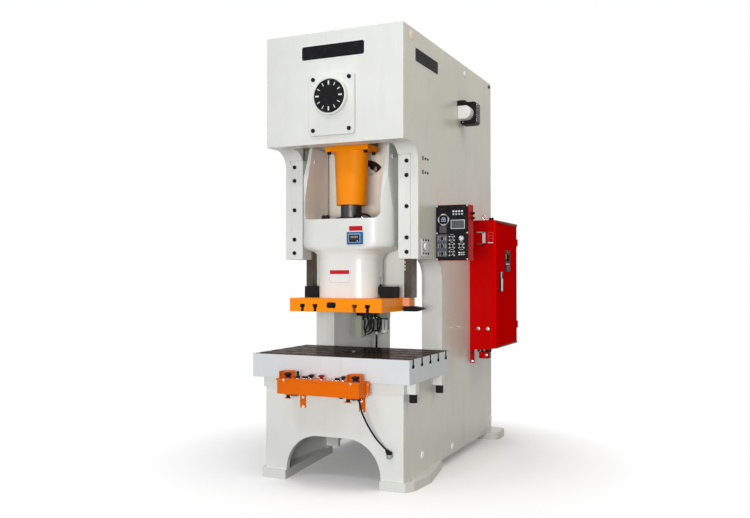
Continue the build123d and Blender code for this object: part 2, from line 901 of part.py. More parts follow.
# Ram casting: barrel, coved shoulder, box with a pocket, and two wings that carry the guide bars
def ram_section(share):
    """Plan of the ram between its barrel (0) and its box (1)."""
    half = barrel_half_width + share * (ram_half_width - barrel_half_width)
    front = barrel_front + share * (ram_front - barrel_front)
    back = barrel_back + share * (ram_back - barrel_back)
    corner = barrel_corner + share * (ram_corner - barrel_corner)
    rear_corner = barrel_corner + share * (20 - barrel_corner)
    with BuildSketch() as section:
        with Locations((0, (front + back) / 2)):
            Rectangle(2 * half, back - front)
        fillet(section.vertices().group_by(Axis.Y)[0], corner)
        fillet(section.vertices().group_by(Axis.Y)[-1], rear_corner)
    return section.sketch


cove_shares = ((0, 0), (0.29, 0.1), (0.5, 0.35), (0.62, 0.7), (0.76, 0.93), (1, 1))
cove_steps = [(barrel_top + cove_height * rise, share) for rise, share in cove_shares]
ram_wing_inner = ram_half_width - ram_wing_depth
with BuildPart() as ram_body:
    with BuildSketch(Plane.XY.offset(ram_plate_top)):
        add(ram_section(0))
    extrude(amount=barrel_height)
    for height, share in cove_steps:
        with BuildSketch(Plane.XY.offset(height)):
            add(ram_section(share))
    loft(ruled=True)
    with BuildSketch(Plane.XY.offset(ram_box_bottom)):
        add(ram_section(1))
    extrude(amount=ram_wing_top - ram_box_bottom)
    # The side view cuts the wings back above the box's front wall
    with BuildSketch(Plane.YZ.offset(-ram_half_width - 20)) as front_cut:
        with BuildLine():
            Polyline(
                (ram_front - 20, ram_wall_top),
                (ram_wing_foot_y, ram_wall_top),
                (ram_wing_knee_y, ram_wall_top + ram_wing_knee_rise),
                (ram_wing_top_y, ram_wing_top + 10),
                (ram_front - 20, ram_wing_top + 10),
                close=True,
            )
        make_face()
        fillet(front_cut.vertices().sort_by_distance((ram_wing_foot_y, ram_wall_top))[0], ram_wing_fillet)
        wing_knee = (ram_wing_knee_y, ram_wall_top + ram_wing_knee_rise)
        fillet(front_cut.vertices().sort_by_distance(wing_knee)[0], 4 * ram_wing_fillet)
    extrude(amount=2 * ram_half_width + 40, mode=Mode.SUBTRACT)
    # The wings are plates with a rounded root, and their outer faces lean inwards
    wing_height = ram_wing_top + 10 - ram_wall_top
    with BuildSketch(facing_front(ram_back + 20)) as wing_space:
        with Locations((0, ram_wall_top + wing_height / 2)):
            Rectangle(2 * ram_wing_inner, wing_height)
        fillet(wing_space.vertices().group_by(Axis.Y)[0], ram_wing_root)
    extrude(amount=ram_back - ram_front + 40, mode=Mode.SUBTRACT)
    for side in (-1, 1):
        with BuildSketch(facing_front(ram_back + 20)):
            with BuildLine():
                Polyline(
                    (side * ram_half_width, ram_wall_top + ram_wing_fillet),
                    (side * (ram_wing_inner + ram_wing_top_thickness), ram_wing_top + 10),
                    (side * (ram_half_width + 20), ram_wing_top + 10),
                    (side * (ram_half_width + 20), ram_wall_top + ram_wing_fillet),
                    close=True,
                )
            make_face()
        extrude(amount=ram_back - ram_front + 40, mode=Mode.SUBTRACT)
    # Pocket inside the box, bore for the ball and slot for the knockout bar
    with BuildSketch(Plane.XY.offset(pocket_floor)) as pocket:
        with Locations((0, (ram_front + ram_back) / 2)):
            Rectangle(2 * (ram_wing_inner - ram_wing_root), ram_back - ram_front - 2 * ram_skirt)
        fillet(pocket.vertices().group_by(Axis.Y)[0], ram_corner - ram_skirt)
    extrude(amount=ram_wall_top - pocket_floor, mode=Mode.SUBTRACT)
    with BuildSketch(Plane.XY.offset(ball_seat_height)):
        with Locations((0, rod_y)):
            Circle(ball_radius + close_fit)
    extrude(amount=pocket_floor - ball_seat_height, mode=Mode.SUBTRACT)
    # Rear skirt and the flanks that seat the guide bars
    skirt_height = ram_box_bottom - ram_plate_top
    with Locations((0, ram_back - ram_skirt / 2, ram_plate_top + skirt_height / 2)):
        Box(2 * guide_bar_inner, ram_skirt, skirt_height)
    flank_height = guide_bar_top - ram_box_bottom
    for side in (-1, 1):
        with Locations((
            side * (ram_wing_inner + guide_bar_inner) / 2,
            ram_back - guide_bar_depth / 2,
            ram_box_bottom + flank_height / 2,
        )):
            Box(guide_bar_inner - ram_wing_inner, guide_bar_depth, flank_height)
    knockout_slot = knockout_height + knockout_lift + 8
    with Locations((0, die_y, ram_plate_top + knockout_slot / 2)):
        Box(2 * barrel_half_width + 20, knockout_width + 4, knockout_slot, mode=Mode.SUBTRACT)
export(ram_body, "ram_body")

for name, side in (("left", -1), ("right", 1)):
    with BuildPart() as guide_bar:
        with Locations((
            side * (guide_bar_inner + guide_bar_width / 2),
            ram_back - guide_bar_depth / 2,
            (ram_plate_top + guide_bar_top) / 2,
        )):
            Box(guide_bar_width, guide_bar_depth, guide_bar_top - ram_plate_top)
        chamfer(guide_bar.edges().filter_by(Axis.Z), 3)
    export(guide_bar, f"guide_bar_{name}")

# Ram plate with T-slots for the upper tool, the shank hole, the clamp's recess and an ear under each bar
ram_plate_depth = ram_plate_back - ram_plate_front
clamp_x = -24
clamp_z = (ram_plate_bottom + ram_plate_top) / 2
clamp_width = 68
clamp_height = 38
clamp_depth = 28
with BuildPart() as ram_plate:
    with Locations((0, (ram_plate_front + ram_plate_back) / 2, (ram_plate_bottom + ram_plate_top) / 2)):
        Box(2 * ram_plate_half, ram_plate_depth, ram_plate_thickness)
    chamfer(ram_plate.edges().filter_by(Axis.Z), 6)
    ear_width = ear_reach - ram_plate_half + 10
    for side in (-1, 1):
        with Locations((
            side * (ear_reach - ear_width / 2),
            ram_back - guide_bar_depth / 2,
            ram_plate_top - ear_thickness / 2,
        )):
            Box(ear_width, guide_bar_depth, ear_thickness)
    with BuildSketch(facing_front(ram_plate_back)):
        neck_z = ram_plate_bottom + ram_slot_neck_height / 2
        with Locations(*[(x, neck_z) for x in ram_slot_places]):
            Rectangle(ram_slot_neck, ram_slot_neck_height)
        slot_tee_z = ram_plate_bottom + ram_slot_neck_height + ram_slot_tee_height / 2
        with Locations(*[(x, slot_tee_z) for x in ram_slot_places]):
            Rectangle(ram_slot_tee, ram_slot_tee_height)
    extrude(amount=ram_plate_depth, mode=Mode.SUBTRACT)
    with BuildSketch(Plane.XY.offset(ram_plate_bottom)):
        with Locations((0, die_y)):
            Circle(shank_radius)
    extrude(amount=ram_plate_thickness, mode=Mode.SUBTRACT)
    with BuildSketch(facing_front(ram_plate_front + clamp_depth)):
        with Locations((clamp_x, clamp_z)):
            RectangleRounded(clamp_width, clamp_height, 12)
    extrude(amount=clamp_depth, mode=Mode.SUBTRACT)
export(ram_plate, "ram_plate")

# Black bar under the right ear, tapered at its outer end
stop_inner = ram_plate_half + 5
stop_outer = ear_reach + 92
stop_taper = 45
stop_height = 36
stop_top = ram_plate_top - ear_thickness
with BuildPart() as stop_bar:
    with BuildSketch(facing_front(ram_back - 30)):
        with BuildLine():
            Polyline(
                (stop_inner, stop_top),
                (ear_reach + 20, stop_top),
                (stop_outer, stop_top - 12),
                (stop_outer, stop_top - 20),
                (stop_outer - stop_taper, stop_top - stop_height),
                (stop_inner, stop_top - stop_height),
                close=True,
            )
        make_face()
    extrude(amount=guide_bar_depth - 30)
export(stop_bar, "stop_bar")

# Knockout bar, resting on the ram plate
knockout_bottom = ram_plate_top + close_fit
block_inner = barrel_half_width + knockout_block_gap
with BuildPart() as knockout_bar:
    with Locations((0, die_y, knockout_bottom + knockout_height / 2)):
        Box(2 * block_inner + 20, knockout_width, knockout_height)
    for side in (-1, 1):
        with BuildSketch(facing_front(knockout_block_back)):
            with BuildLine():
                Polyline(
                    (side * block_inner, knockout_bottom + knockout_height),
                    (side * block_inner, knockout_bottom + knockout_block_chamfer),
                    (side * (block_inner + knockout_block_chamfer), knockout_bottom),
                    (side * knockout_half_length, knockout_bottom),
                    (side * knockout_half_length, knockout_bottom + knockout_height),
                    close=True,
                )
            make_face()
        extrude(amount=knockout_block_back - knockout_block_front)
export(knockout_bar, "knockout_bar")

# Two-hand control box on brackets in front of the bed
console_bottom = bed_height - console_drop
console_top = console_bottom + console_height
console_back = console_front + console_depth
console_y = console_front + console_depth / 2
button_places = {"run_button": -72, "emergency_button": 2, "stop_button": 162}
selector_x = -172
with BuildPart() as console_box:
    with Locations((0, console_y, console_bottom + console_height / 2)):
        Box(2 * console_half, console_depth, console_height)
        Box(
            2 * (console_half - console_wall),
            console_depth - 2 * console_wall,
            console_height - 2 * console_wall,
            mode=Mode.SUBTRACT,
        )
    with Locations((0, console_y, console_top - 6)):
        Box(2 * (console_half + console_lip), console_depth + 2 * console_lip, 12)
        Box(2 * (console_half - console_wall), console_depth - 2 * console_wall, 12, mode=Mode.SUBTRACT)
    with Locations((0, console_y, console_top - console_wall / 2)):
        Box(2 * console_half, console_depth, console_wall)
    with Locations((0, console_back + 4, console_bottom + 55)):
        Box(2 * console_half + 36, 8, 90)
    with Locations(*[(x, palm_y, console_top) for x in (-palm_x, palm_x)]):
        Hole(palm_stem + stem_gap, depth=2 * console_wall)
    with Locations(*[(x, palm_y, console_top) for x in (*button_places.values(), selector_x)]):
        Hole(button_stem + stem_gap, depth=2 * console_wall)
    # Guards: a wall of bent sheet round the back of each palm button
    for side in (-1, 1):
        with BuildSketch(Plane.XY.offset(console_top)):
            with BuildLine() as guard_path:
                left_leg = Line((side * palm_x - guard_ring, palm_y - 30), (side * palm_x - guard_ring, palm_y))
                ThreePointArc(
                    left_leg @ 1,
                    (side * palm_x, palm_y + guard_ring),
                    (side * palm_x + guard_ring, palm_y),
                )
                Line((side * palm_x + guard_ring, palm_y), (side * palm_x + guard_ring, palm_y - 30))
                offset(amount=console_wall, side=Side.RIGHT)
            make_face()
        extrude(amount=guard_height)
export(console_box, "console_box")

bracket_x = 221
bracket_width = 44
bracket_plate = 6
bracket_height = 118
bracket_inset = 10
bracket_bottom = console_bottom - bracket_height
with BuildPart() as console_brackets:
    for side in (-1, 1):
        with BuildSketch(side_plane(side, bracket_x - bracket_width / 2, bracket_x + bracket_width / 2)):
            with BuildLine():
                Polyline(
                    (front_y, bracket_bottom),
                    (front_y - bracket_plate, bracket_bottom),
                    (front_y - bracket_plate, console_bottom - bracket_plate),
                    (console_front + bracket_inset, console_bottom - bracket_plate),
                    (console_front + bracket_inset, console_bottom),
                    (front_y, console_bottom),
                    close=True,
                )
            make_face()
        extrude(amount=bracket_width)
export(console_brackets, "console_brackets")


def push_button(x, head_radius, stem_radius, head_bottom_z, head_height):
    """Button whose stem passes through the lid; its head is domed."""
    with BuildSketch(Plane.XY.offset(console_top - 12)) as stem:
        with Locations((x, palm_y)):
            Circle(stem_radius)
    extrude(stem.sketch, amount=head_bottom_z - console_top + 12)
    with BuildSketch(Plane.XY.offset(head_bottom_z)) as head:
        with Locations((x, palm_y)):
            Circle(head_radius)
    extrude(head.sketch, amount=head_height)


palm_head_bottom = console_top + palm_head_gap
for name, side in (("left", -1), ("right", 1)):
    with BuildPart() as palm_button:
        push_button(side * palm_x, palm_head, palm_stem, palm_head_bottom, 22)
        fillet(palm_button.edges().group_by(Axis.Z)[-1], 8)
    export(palm_button, f"palm_button_{name}")

button_heads = {"run_button": 21, "emergency_button": 21, "stop_button": 19}
for name, x in button_places.items():
    with BuildPart() as button:
        push_button(x, button_heads[name], button_stem, console_top + 14, 18)
        fillet(button.edges().group_by(Axis.Z)[-1], 6)
    export(button, name)

selector_height = 46
with BuildPart() as mode_selector:
    push_button(selector_x, 14, button_stem, console_top + 3, 12)
    with Locations((selector_x, palm_y, console_top + 15 + (selector_height - 15) / 2)):
        Box(7, 22, selector_height - 15)
export(mode_selector, "mode_selector")

# Control cable from the box to an elbow on the bed's front plate
cable_radius = 6
cable_points = [
    (262, -1122, 594),
    (270, -1112, 525),
    (298, -1090, 446),
    (333, -1066, 372),
    (372, -1046, 313),
    (411, -1030, 272),
]
gland_length = 26
with BuildPart() as cable_gland:
    with BuildSketch(Plane.XY.offset(console_bottom - gland_length)):
        with Locations((cable_points[0][0], cable_points[0][1])):
            Circle(cable_radius + 7)
            Circle(cable_radius + 1.6, mode=Mode.SUBTRACT)
    extrude(amount=gland_length)
export(cable_gland, "cable_gland")


def cord_radii(points):
    """Largest tangent arc at each corner: 0.45 of the shorter run over the tangent of half the turn."""
    corners = [Vector(*point) for point in points]
    radii = []
    for before, corner, after in zip(corners, corners[1:], corners[2:]):
        half_turn = radians((corner - before).get_angle(after - corner)) / 2
        shorter = min((corner - before).length, (after - corner).length)
        radii.append(0.45 * shorter / tan(half_turn))
    return radii


cable_radii = cord_radii(cable_points)
print("control cable radii", [round(radius) for radius in cable_radii])
with BuildPart() as control_cable:
    with BuildLine() as cable_line:
        FilletPolyline(*cable_points, radius=cable_radii)
    cable_route = cable_line.wire()
    with BuildSketch(Plane(origin=cable_route @ 0, z_dir=cable_route % 0)):
        Circle(cable_radius)
    sweep(path=cable_route)
cable_ratio = control_cable.part.volume / (pi * cable_radius**2 * cable_route.length)
print("control cable length", round(cable_route.length, 1), "volume ratio", round(cable_ratio, 4))
export(control_cable, "control_cable")

elbow_width = 38
elbow_height = 56
elbow_reach = 42
elbow_x = cable_points[-1][0] + 12
elbow_z = cable_points[-1][2] - 36
with BuildPart() as cable_elbow:
    with Locations((elbow_x, front_y - elbow_reach / 2, elbow_z)):
        Box(elbow_width, elbow_reach, elbow_height)
    fillet(cable_elbow.faces().sort_by(Axis.Y)[0].edges(), 10)
export(cable_elbow, "cable_elbow")

# Operator panel on the right side plate
panel_bottom = throat_bottom - panel_drop
panel_middle = half_width + panel_width / 2
panel_middle_z = panel_bottom + panel_height / 2
panel_box_front = panel_front + panel_face_thickness
with BuildPart() as operator_box:
    with Locations((panel_middle, panel_box_front + panel_depth / 2, panel_middle_z)):
        Box(panel_width, panel_depth, panel_height)
    chamfer(operator_box.faces().sort_by(Axis.Y)[-1].edges().filter_by(Axis.Z).sort_by(Axis.X)[-1], 12)
export(operator_box, "operator_box")

selector_column = half_width + 44
button_column = half_width + 119
knob_column = half_width + 190
panel_rows = [panel_bottom + 49 + 53 * row for row in range(3)]
panel_knob_x = knob_column
panel_knob_z = panel_rows[2]
knob_radius = 15
with BuildPart() as panel_face:
    with BuildSketch(facing_front(panel_box_front)):
        with Locations((panel_middle, panel_middle_z)):
            RectangleRounded(panel_width - 3, panel_height - 3, 6)
        with Locations((panel_knob_x, panel_knob_z)):
            Circle(5 + stem_gap, mode=Mode.SUBTRACT)
    extrude(amount=panel_face_thickness)
    # Selector housings down the left, push buttons in the middle and one lower right
    with BuildSketch(facing_front(panel_front)):
        with Locations(*[(selector_column, z) for z in panel_rows]):
            Circle(16)
        with Locations(*[(button_column, z) for z in panel_rows], (knob_column, panel_rows[1])):
            Circle(11)
    extrude(amount=12)
export(panel_face, "panel_face")

with BuildPart() as panel_knob:
    with BuildSketch(facing_front(panel_box_front - 1)):
        with Locations((panel_knob_x, panel_knob_z)):
            Circle(5)
    extrude(amount=panel_face_thickness)
    with BuildSketch(facing_front(panel_front - close_fit)):
        with Locations((panel_knob_x, panel_knob_z)):
            Circle(knob_radius)
    extrude(amount=10)
    with BuildSketch(facing_front(panel_front - close_fit - 10)):
        with Locations((panel_knob_x, panel_knob_z)):
            Rectangle(2 * knob_radius - 4, 8)
    extrude(amount=10)
export(panel_knob, "panel_knob")

# Electric cabinet on the right side plate: an open box with its wiring plate, on two angle brackets
cabinet_bottom = bed_height + cabinet_rise
cabinet_middle_y = cabinet_front + cabinet_length / 2
cabinet_middle_z = cabinet_bottom + cabinet_height / 2
cabinet_outer = half_width + cabinet_depth
hinge_x = cabinet_outer + door_thickness + hinge_offset
hinge_y = cabinet_front + cabinet_length + hinge_radius
hinge_heights = (cabinet_bottom + 160, cabinet_bottom + cabinet_height - 160)
hinge_length = 60
with BuildPart() as electric_cabinet:
    with Locations((half_width + cabinet_depth / 2, cabinet_middle_y, cabinet_middle_z)):
        Box(cabinet_depth, cabinet_length, cabinet_height)
    with Locations((half_width + (cabinet_depth + cabinet_wall) / 2, cabinet_middle_y, cabinet_middle_z)):
        Box(
            cabinet_depth - cabinet_wall,
            cabinet_length - 2 * cabinet_wall,
            cabinet_height - 2 * cabinet_wall,
            mode=Mode.SUBTRACT,
        )
    for y in (cabinet_front + 12, cabinet_front + cabinet_length - 180):
        with Locations((half_width + support_width / 2, y, cabinet_bottom - support_height / 2)):
            Box(support_width, 8, support_height)
        with Locations((half_width + support_shelf / 2, y, cabinet_bottom - 4)):
            Box(support_shelf, 40, 8)
    for z in hinge_heights:
        with Locations((hinge_x, hinge_y, z - hinge_length / 4)):
            Cylinder(hinge_radius, hinge_length / 2 - door_gap)
        tab = hinge_x - cabinet_outer + 20
        with Locations((hinge_x - tab / 2, hinge_y - hinge_radius + 1.5, z - hinge_length / 4)):
            Box(tab, 3, hinge_length / 2 - door_gap)
export(electric_cabinet, "electric_cabinet")

door_outer = cabinet_outer + door_thickness
with BuildPart() as cabinet_door:
    door_depth = door_thickness - door_gap
    door_x = cabinet_outer + door_gap + door_depth / 2
    with Locations((door_x, cabinet_middle_y, cabinet_middle_z)):
        Box(door_depth, cabinet_length - 4, cabinet_height - 4)
    with Locations((door_x - cabinet_wall / 2, cabinet_middle_y, cabinet_middle_z)):
        Box(
            door_depth - cabinet_wall,
            cabinet_length - 4 - 2 * cabinet_wall,
            cabinet_height - 4 - 2 * cabinet_wall,
            mode=Mode.SUBTRACT,
        )
    for z in hinge_heights:
        with Locations((hinge_x, hinge_y, z + hinge_length / 4)):
            Cylinder(hinge_radius, hinge_length / 2 - door_gap)
        with Locations((hinge_x - hinge_radius + 1.5, hinge_y - 7, z + hinge_length / 4)):
            Box(3, 14, hinge_length / 2 - door_gap)
    handle_y = cabinet_front + handle_inset
    handle_z = cabinet_bottom + handle_rise
    switch_y = cabinet_front + switch_inset
    switch_z = cabinet_bottom + switch_rise
    with BuildSketch(Plane.YZ.offset(door_outer - 2 * cabinet_wall)):
        with Locations((handle_y, handle_z), (switch_y, switch_z)):
            Circle(6 + stem_gap)
    extrude(amount=3 * cabinet_wall, mode=Mode.SUBTRACT)
export(cabinet_door, "cabinet_door")

with BuildPart() as door_handle:
    with BuildSketch(Plane.YZ.offset(door_outer - 2 * cabinet_wall)):
        with Locations((handle_y, handle_z)):
            Circle(6)
    extrude(amount=2 * cabinet_wall + close_fit)
    with BuildSketch(Plane.YZ.offset(door_outer + close_fit)):
        with Locations((handle_y, handle_z - 58)):
            SlotOverall(160, 32, rotation=90)
    extrude(amount=14)
    fillet(door_handle.faces().sort_by(Axis.X)[-1].edges(), 4)
export(door_handle, "door_handle")

with BuildPart() as main_switch:
    with BuildSketch(Plane.YZ.offset(door_outer - 2 * cabinet_wall)):
        with Locations((switch_y, switch_z)):
            Circle(6)
    extrude(amount=2 * cabinet_wall + close_fit)
    with BuildSketch(Plane.YZ.offset(door_outer + close_fit)):
        with Locations((switch_y, switch_z)):
            Circle(28)
    extrude(amount=8)
    with BuildSketch(Plane.YZ.offset(door_outer + close_fit + 8)):
        with Locations((switch_y, switch_z)):
            Rectangle(14, 50)
    extrude(amount=14)
export(main_switch, "main_switch")

# Lubricator on the right side plate: pump block and its rounded tank
lubricator_front = 92
tank_depth = 78
tank_radius = 52
tank_reach = 54
tank_height = crank_height + 49
with BuildPart() as lubricator_tank:
    with BuildSketch(facing_front(lubricator_front + tank_depth)):
        with Locations((half_width + tank_reach / 2, tank_height)):
            Rectangle(tank_reach, 2 * tank_radius)
        with Locations((half_width + tank_reach, tank_height)):
            Circle(tank_radius)
    extrude(amount=tank_depth)
    fillet(lubricator_tank.faces().sort_by(Axis.Y)[0].edges(), 10)
export(lubricator_tank, "lubricator_tank")

pump_width = 127
pump_depth = 97
pump_bottom = tank_height - 82
pump_height = 172
with BuildPart() as lubricator_pump:
    with Locations((
        half_width + pump_width / 2,
        lubricator_front + tank_depth + pump_depth / 2,
        pump_bottom + pump_height / 2,
    )):
        Box(pump_width, pump_depth, pump_height)
    chamfer(lubricator_pump.edges().filter_by(Axis.Y), 14)
    cap_bottom = tank_height + tank_radius
    cap_height = pump_bottom + pump_height - cap_bottom
    with Locations((half_width + 30, lubricator_front + tank_depth / 2 + 2, cap_bottom + cap_height / 2)):
        Box(60, tank_depth + 4, cap_height)
export(lubricator_pump, "lubricator_pump")

# Air unit on the left column's inner face: back plate, valve, regulator and pipe, with a filter bowl
air_x = -passage_x
air_front = 120
air_length = 525
air_depth = 50
air_rise = 192
air_height = 175
air_bottom = bed_height + air_rise
air_top = air_bottom + air_height
valve_start = 320
valve_length = 300
valve_height = 34
valve_depth = 42
bowl_y = 500
bowl_radius = 34
bowl_gap = 2
bowl_arm_height = 44
bowl_arm_drop = 32
bowl_arm_lip = 3
bowl_rise = 10
air_pipe_y = 470
air_pipe_radius = 9
air_end = air_front + air_length
with BuildPart() as air_unit:
    with Locations((air_x + air_depth / 2, (air_front + air_end) / 2, (air_bottom + air_top) / 2)):
        Box(air_depth, air_length, air_top - air_bottom)
    with Locations((air_x + valve_depth / 2, valve_start + valve_length / 2, air_top + valve_height / 2)):
        Box(valve_depth, valve_length, valve_height)
    arm_bottom = air_top - bowl_arm_drop
    arm_reach = 2 * bowl_radius + bowl_gap + bowl_arm_lip
    with Locations((air_x + air_depth + arm_reach / 2, bowl_y, arm_bottom + bowl_arm_height / 2)):
        Box(arm_reach, 2 * (bowl_radius + bowl_arm_lip), bowl_arm_height)
    with BuildSketch(Plane.XY.offset(bed_height)):
        with Locations((air_x + air_depth / 2, air_pipe_y)):
            Circle(air_pipe_radius)
    extrude(amount=air_bottom - bed_height)
export(air_unit, "air_unit")

with BuildPart() as filter_bowl:
    with BuildSketch(Plane.XY.offset(air_bottom + bowl_rise)):
        with Locations((air_x + air_depth + bowl_gap + bowl_radius, bowl_y)):
            Circle(bowl_radius)
    extrude(amount=arm_bottom - air_bottom - bowl_rise)
    fillet(filter_bowl.edges().group_by(Axis.Z)[0], 14)
export(filter_bowl, "filter_bowl")
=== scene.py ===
import json
from itertools import product
from math import cos, pi, radians, sin

import bmesh
import bpy
from mathutils import Matrix, Vector


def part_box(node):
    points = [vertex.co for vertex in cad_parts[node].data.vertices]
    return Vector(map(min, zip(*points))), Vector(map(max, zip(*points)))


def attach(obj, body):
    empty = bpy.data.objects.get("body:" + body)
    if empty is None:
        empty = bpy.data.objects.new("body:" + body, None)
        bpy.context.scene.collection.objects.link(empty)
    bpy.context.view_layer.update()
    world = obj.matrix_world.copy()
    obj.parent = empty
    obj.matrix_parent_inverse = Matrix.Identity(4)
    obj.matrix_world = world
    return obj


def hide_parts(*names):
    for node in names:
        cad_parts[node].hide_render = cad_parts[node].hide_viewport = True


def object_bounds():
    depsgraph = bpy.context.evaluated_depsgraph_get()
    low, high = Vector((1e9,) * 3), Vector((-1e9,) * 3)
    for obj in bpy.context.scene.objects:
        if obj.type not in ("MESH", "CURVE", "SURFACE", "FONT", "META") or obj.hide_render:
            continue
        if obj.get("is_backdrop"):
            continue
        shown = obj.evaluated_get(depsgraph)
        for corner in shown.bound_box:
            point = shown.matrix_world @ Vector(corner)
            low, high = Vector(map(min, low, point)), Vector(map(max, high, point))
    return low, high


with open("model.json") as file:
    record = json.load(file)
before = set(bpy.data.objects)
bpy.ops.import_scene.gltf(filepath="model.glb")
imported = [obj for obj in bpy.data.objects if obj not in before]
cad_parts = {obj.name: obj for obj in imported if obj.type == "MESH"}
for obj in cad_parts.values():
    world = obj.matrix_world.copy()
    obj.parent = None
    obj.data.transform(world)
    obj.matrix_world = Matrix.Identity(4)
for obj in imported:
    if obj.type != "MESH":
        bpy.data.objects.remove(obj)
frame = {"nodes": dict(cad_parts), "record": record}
cad_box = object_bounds()
scene = bpy.context.scene


def add_node(tree, kind, **inputs):
    """Shader node with constants on its sockets."""
    made = tree.nodes.new("ShaderNode" + kind)
    for socket, value in inputs.items():
        made.inputs[socket.replace("_", " ")].default_value = value
    return made


class Shader:
    """A material with short calls for the nodes that its colour, gloss and relief are made of."""

    def __init__(self, name):
        self.material = bpy.data.materials.new(name)
        self.material.use_nodes = True
        self.tree = self.material.node_tree
        self.tree.nodes.clear()
        self.out = self.node("OutputMaterial")
        self.bsdf = self.node("BsdfPrincipled")
        self.link(self.bsdf, "BSDF", self.out, "Surface")
        self.place = self.node("TexCoord")

    def node(self, kind, **inputs):
        return add_node(self.tree, kind, **inputs)

    def link(self, a, output, b, socket):
        self.tree.links.new(a.outputs[output], b.inputs[socket])

    def feed(self, value, socket):
        """Set a number or colour on a socket, or link a (node, output) pair to it."""
        if isinstance(value, (int, float)):
            socket.default_value = value
        elif isinstance(value[0], (int, float)):
            socket.default_value = (*value, 1)
        else:
            self.tree.links.new(value[0].outputs[value[1]], socket)

    def noise(self, scale, detail=4.0, stretch=(1, 1, 1)):
        """Noise over the object's own coordinates in metres, stretched by the given scale."""
        mapping = self.node("Mapping", Scale=stretch)
        self.link(self.place, "Object", mapping, "Vector")
        texture = self.node("TexNoise", Scale=scale, Detail=detail, Roughness=0.55)
        self.link(mapping, "Vector", texture, "Vector")
        return texture

    def spread(self, source, low, high, start=0.3, end=0.7, output="Fac"):
        """Value spread between two bounds."""
        made = self.node("MapRange", From_Min=start, From_Max=end, To_Min=low, To_Max=high)
        self.link(source, output, made, "Value")
        return (made, "Result")

    def mix(self, factor, a, b):
        """Colour mix; each side is a (node, output) pair or a colour."""
        mixer = self.node("Mix")
        mixer.data_type = "RGBA"
        for value, socket in ((factor, 0), (a, 6), (b, 7)):
            self.feed(value, mixer.inputs[socket])
        return (mixer, 2)

    def bump(self, source, distance, strength, below):
        """Relief from a value, on top of the normal below."""
        bump = self.node("Bump", Distance=distance, Strength=strength)
        self.link(source, "Fac", bump, "Height")
        self.link(below, "Normal", bump, "Normal")
        return bump

    def rounded(self, radius):
        """Normal that rounds sharp edges by the given radius."""
        bevel = self.node("Bevel", Radius=radius)
        bevel.samples = 4
        return bevel

    def finish(self, colour, rough, normal, **constants):
        self.feed(colour, self.bsdf.inputs["Base Color"])
        self.feed(rough, self.bsdf.inputs["Roughness"])
        self.link(normal, "Normal", self.bsdf, "Normal")
        for name, value in constants.items():
            self.bsdf.inputs[name.replace("_", " ")].default_value = value
        return self.material


def tint(colour, factor):
    return tuple(min(1, channel * factor) for channel in colour)


def paint(name, colour, gloss=0.34, vary=0.05, grime=0.35, edge=0.0035, coat=0.18, shine=0.4):
    """Sprayed machine enamel: slow shade changes, faint drips of dust, orange peel and softened edges."""
    s = Shader(name)
    slow = s.noise(1.6, 3)
    streak = s.noise(5.0, 6, stretch=(3.2, 3.2, 0.45))
    base = s.mix(s.spread(slow, 0, 1, 0.35, 0.65), tint(colour, 1 - vary), tint(colour, 1 + vary))
    dust = tuple(c * 0.78 + 0.05 for c in colour)
    soiled = s.mix(s.spread(streak, 0, grime, 0.52, 0.78), base, dust)
    rough = s.spread(s.noise(14, 5), gloss - 0.06, gloss + 0.1)
    wavy = s.bump(s.noise(7, 2), 0.0006, 0.25, below=s.rounded(edge))
    peel = s.bump(s.noise(420, 2), 0.00012, 0.35, below=wavy)
    return s.finish(soiled, rough, peel, Coat_Weight=coat, Coat_Roughness=0.12, Specular_IOR_Level=shine)


def steel(name, colour, rough=0.3, stretch=(40, 40, 1.5), marks=0.25, metallic=1.0, stain=0.45, **extra):
    """Machined steel: fine tool marks along one direction, stains and oil."""
    s = Shader(name)
    lines = s.noise(30, 4, stretch=stretch)
    spots = s.noise(6, 6)
    base = s.mix(s.spread(lines, 0, 1, 0.35, 0.65), tint(colour, 1 - marks), tint(colour, 1 + marks))
    stained = s.mix(s.spread(spots, 0, 0.55, 0.5, 0.75), base, tint(colour, stain))
    gloss = s.spread(s.noise(18, 5), rough - 0.08, rough + 0.14)
    relief = s.bump(lines, 0.0002, 0.3, below=s.rounded(0.002))
    return s.finish(stained, gloss, relief, Metallic=metallic, **extra)


def cast(name, colour, rough=0.6):
    """Rough cast iron under oil."""
    s = Shader(name)
    sand = s.noise(90, 4)
    base = s.mix(s.spread(s.noise(5, 6), 0, 1, 0.4, 0.65), tint(colour, 0.65), tint(colour, 1.2))
    relief = s.bump(sand, 0.0008, 0.5, below=s.rounded(0.003))
    return s.finish(base, s.spread(sand, rough - 0.15, rough + 0.15), relief, Metallic=0.35)


def plastic(name, colour, rough=0.35, texture=900, **extra):
    """Moulded plastic with a fine grain and a little wear."""
    s = Shader(name)
    wear = s.noise(30, 6)
    base = s.mix(s.spread(wear, 0, 0.6, 0.5, 0.75), colour, tuple(c * 0.85 + 0.02 for c in colour))
    relief = s.bump(s.noise(texture, 3), 0.00006, 0.4, below=s.rounded(0.001))
    return s.finish(base, s.spread(wear, rough - 0.08, rough + 0.12), relief, **extra)


def sheet_paint(name, colour, gloss, grime=0.06, edge=0.0015, shine=0.03):
    """Enamel on bent sheet metal, without a gloss coat."""
    return paint(name, colour, gloss, grime=grime, edge=edge, coat=0.0, shine=shine)


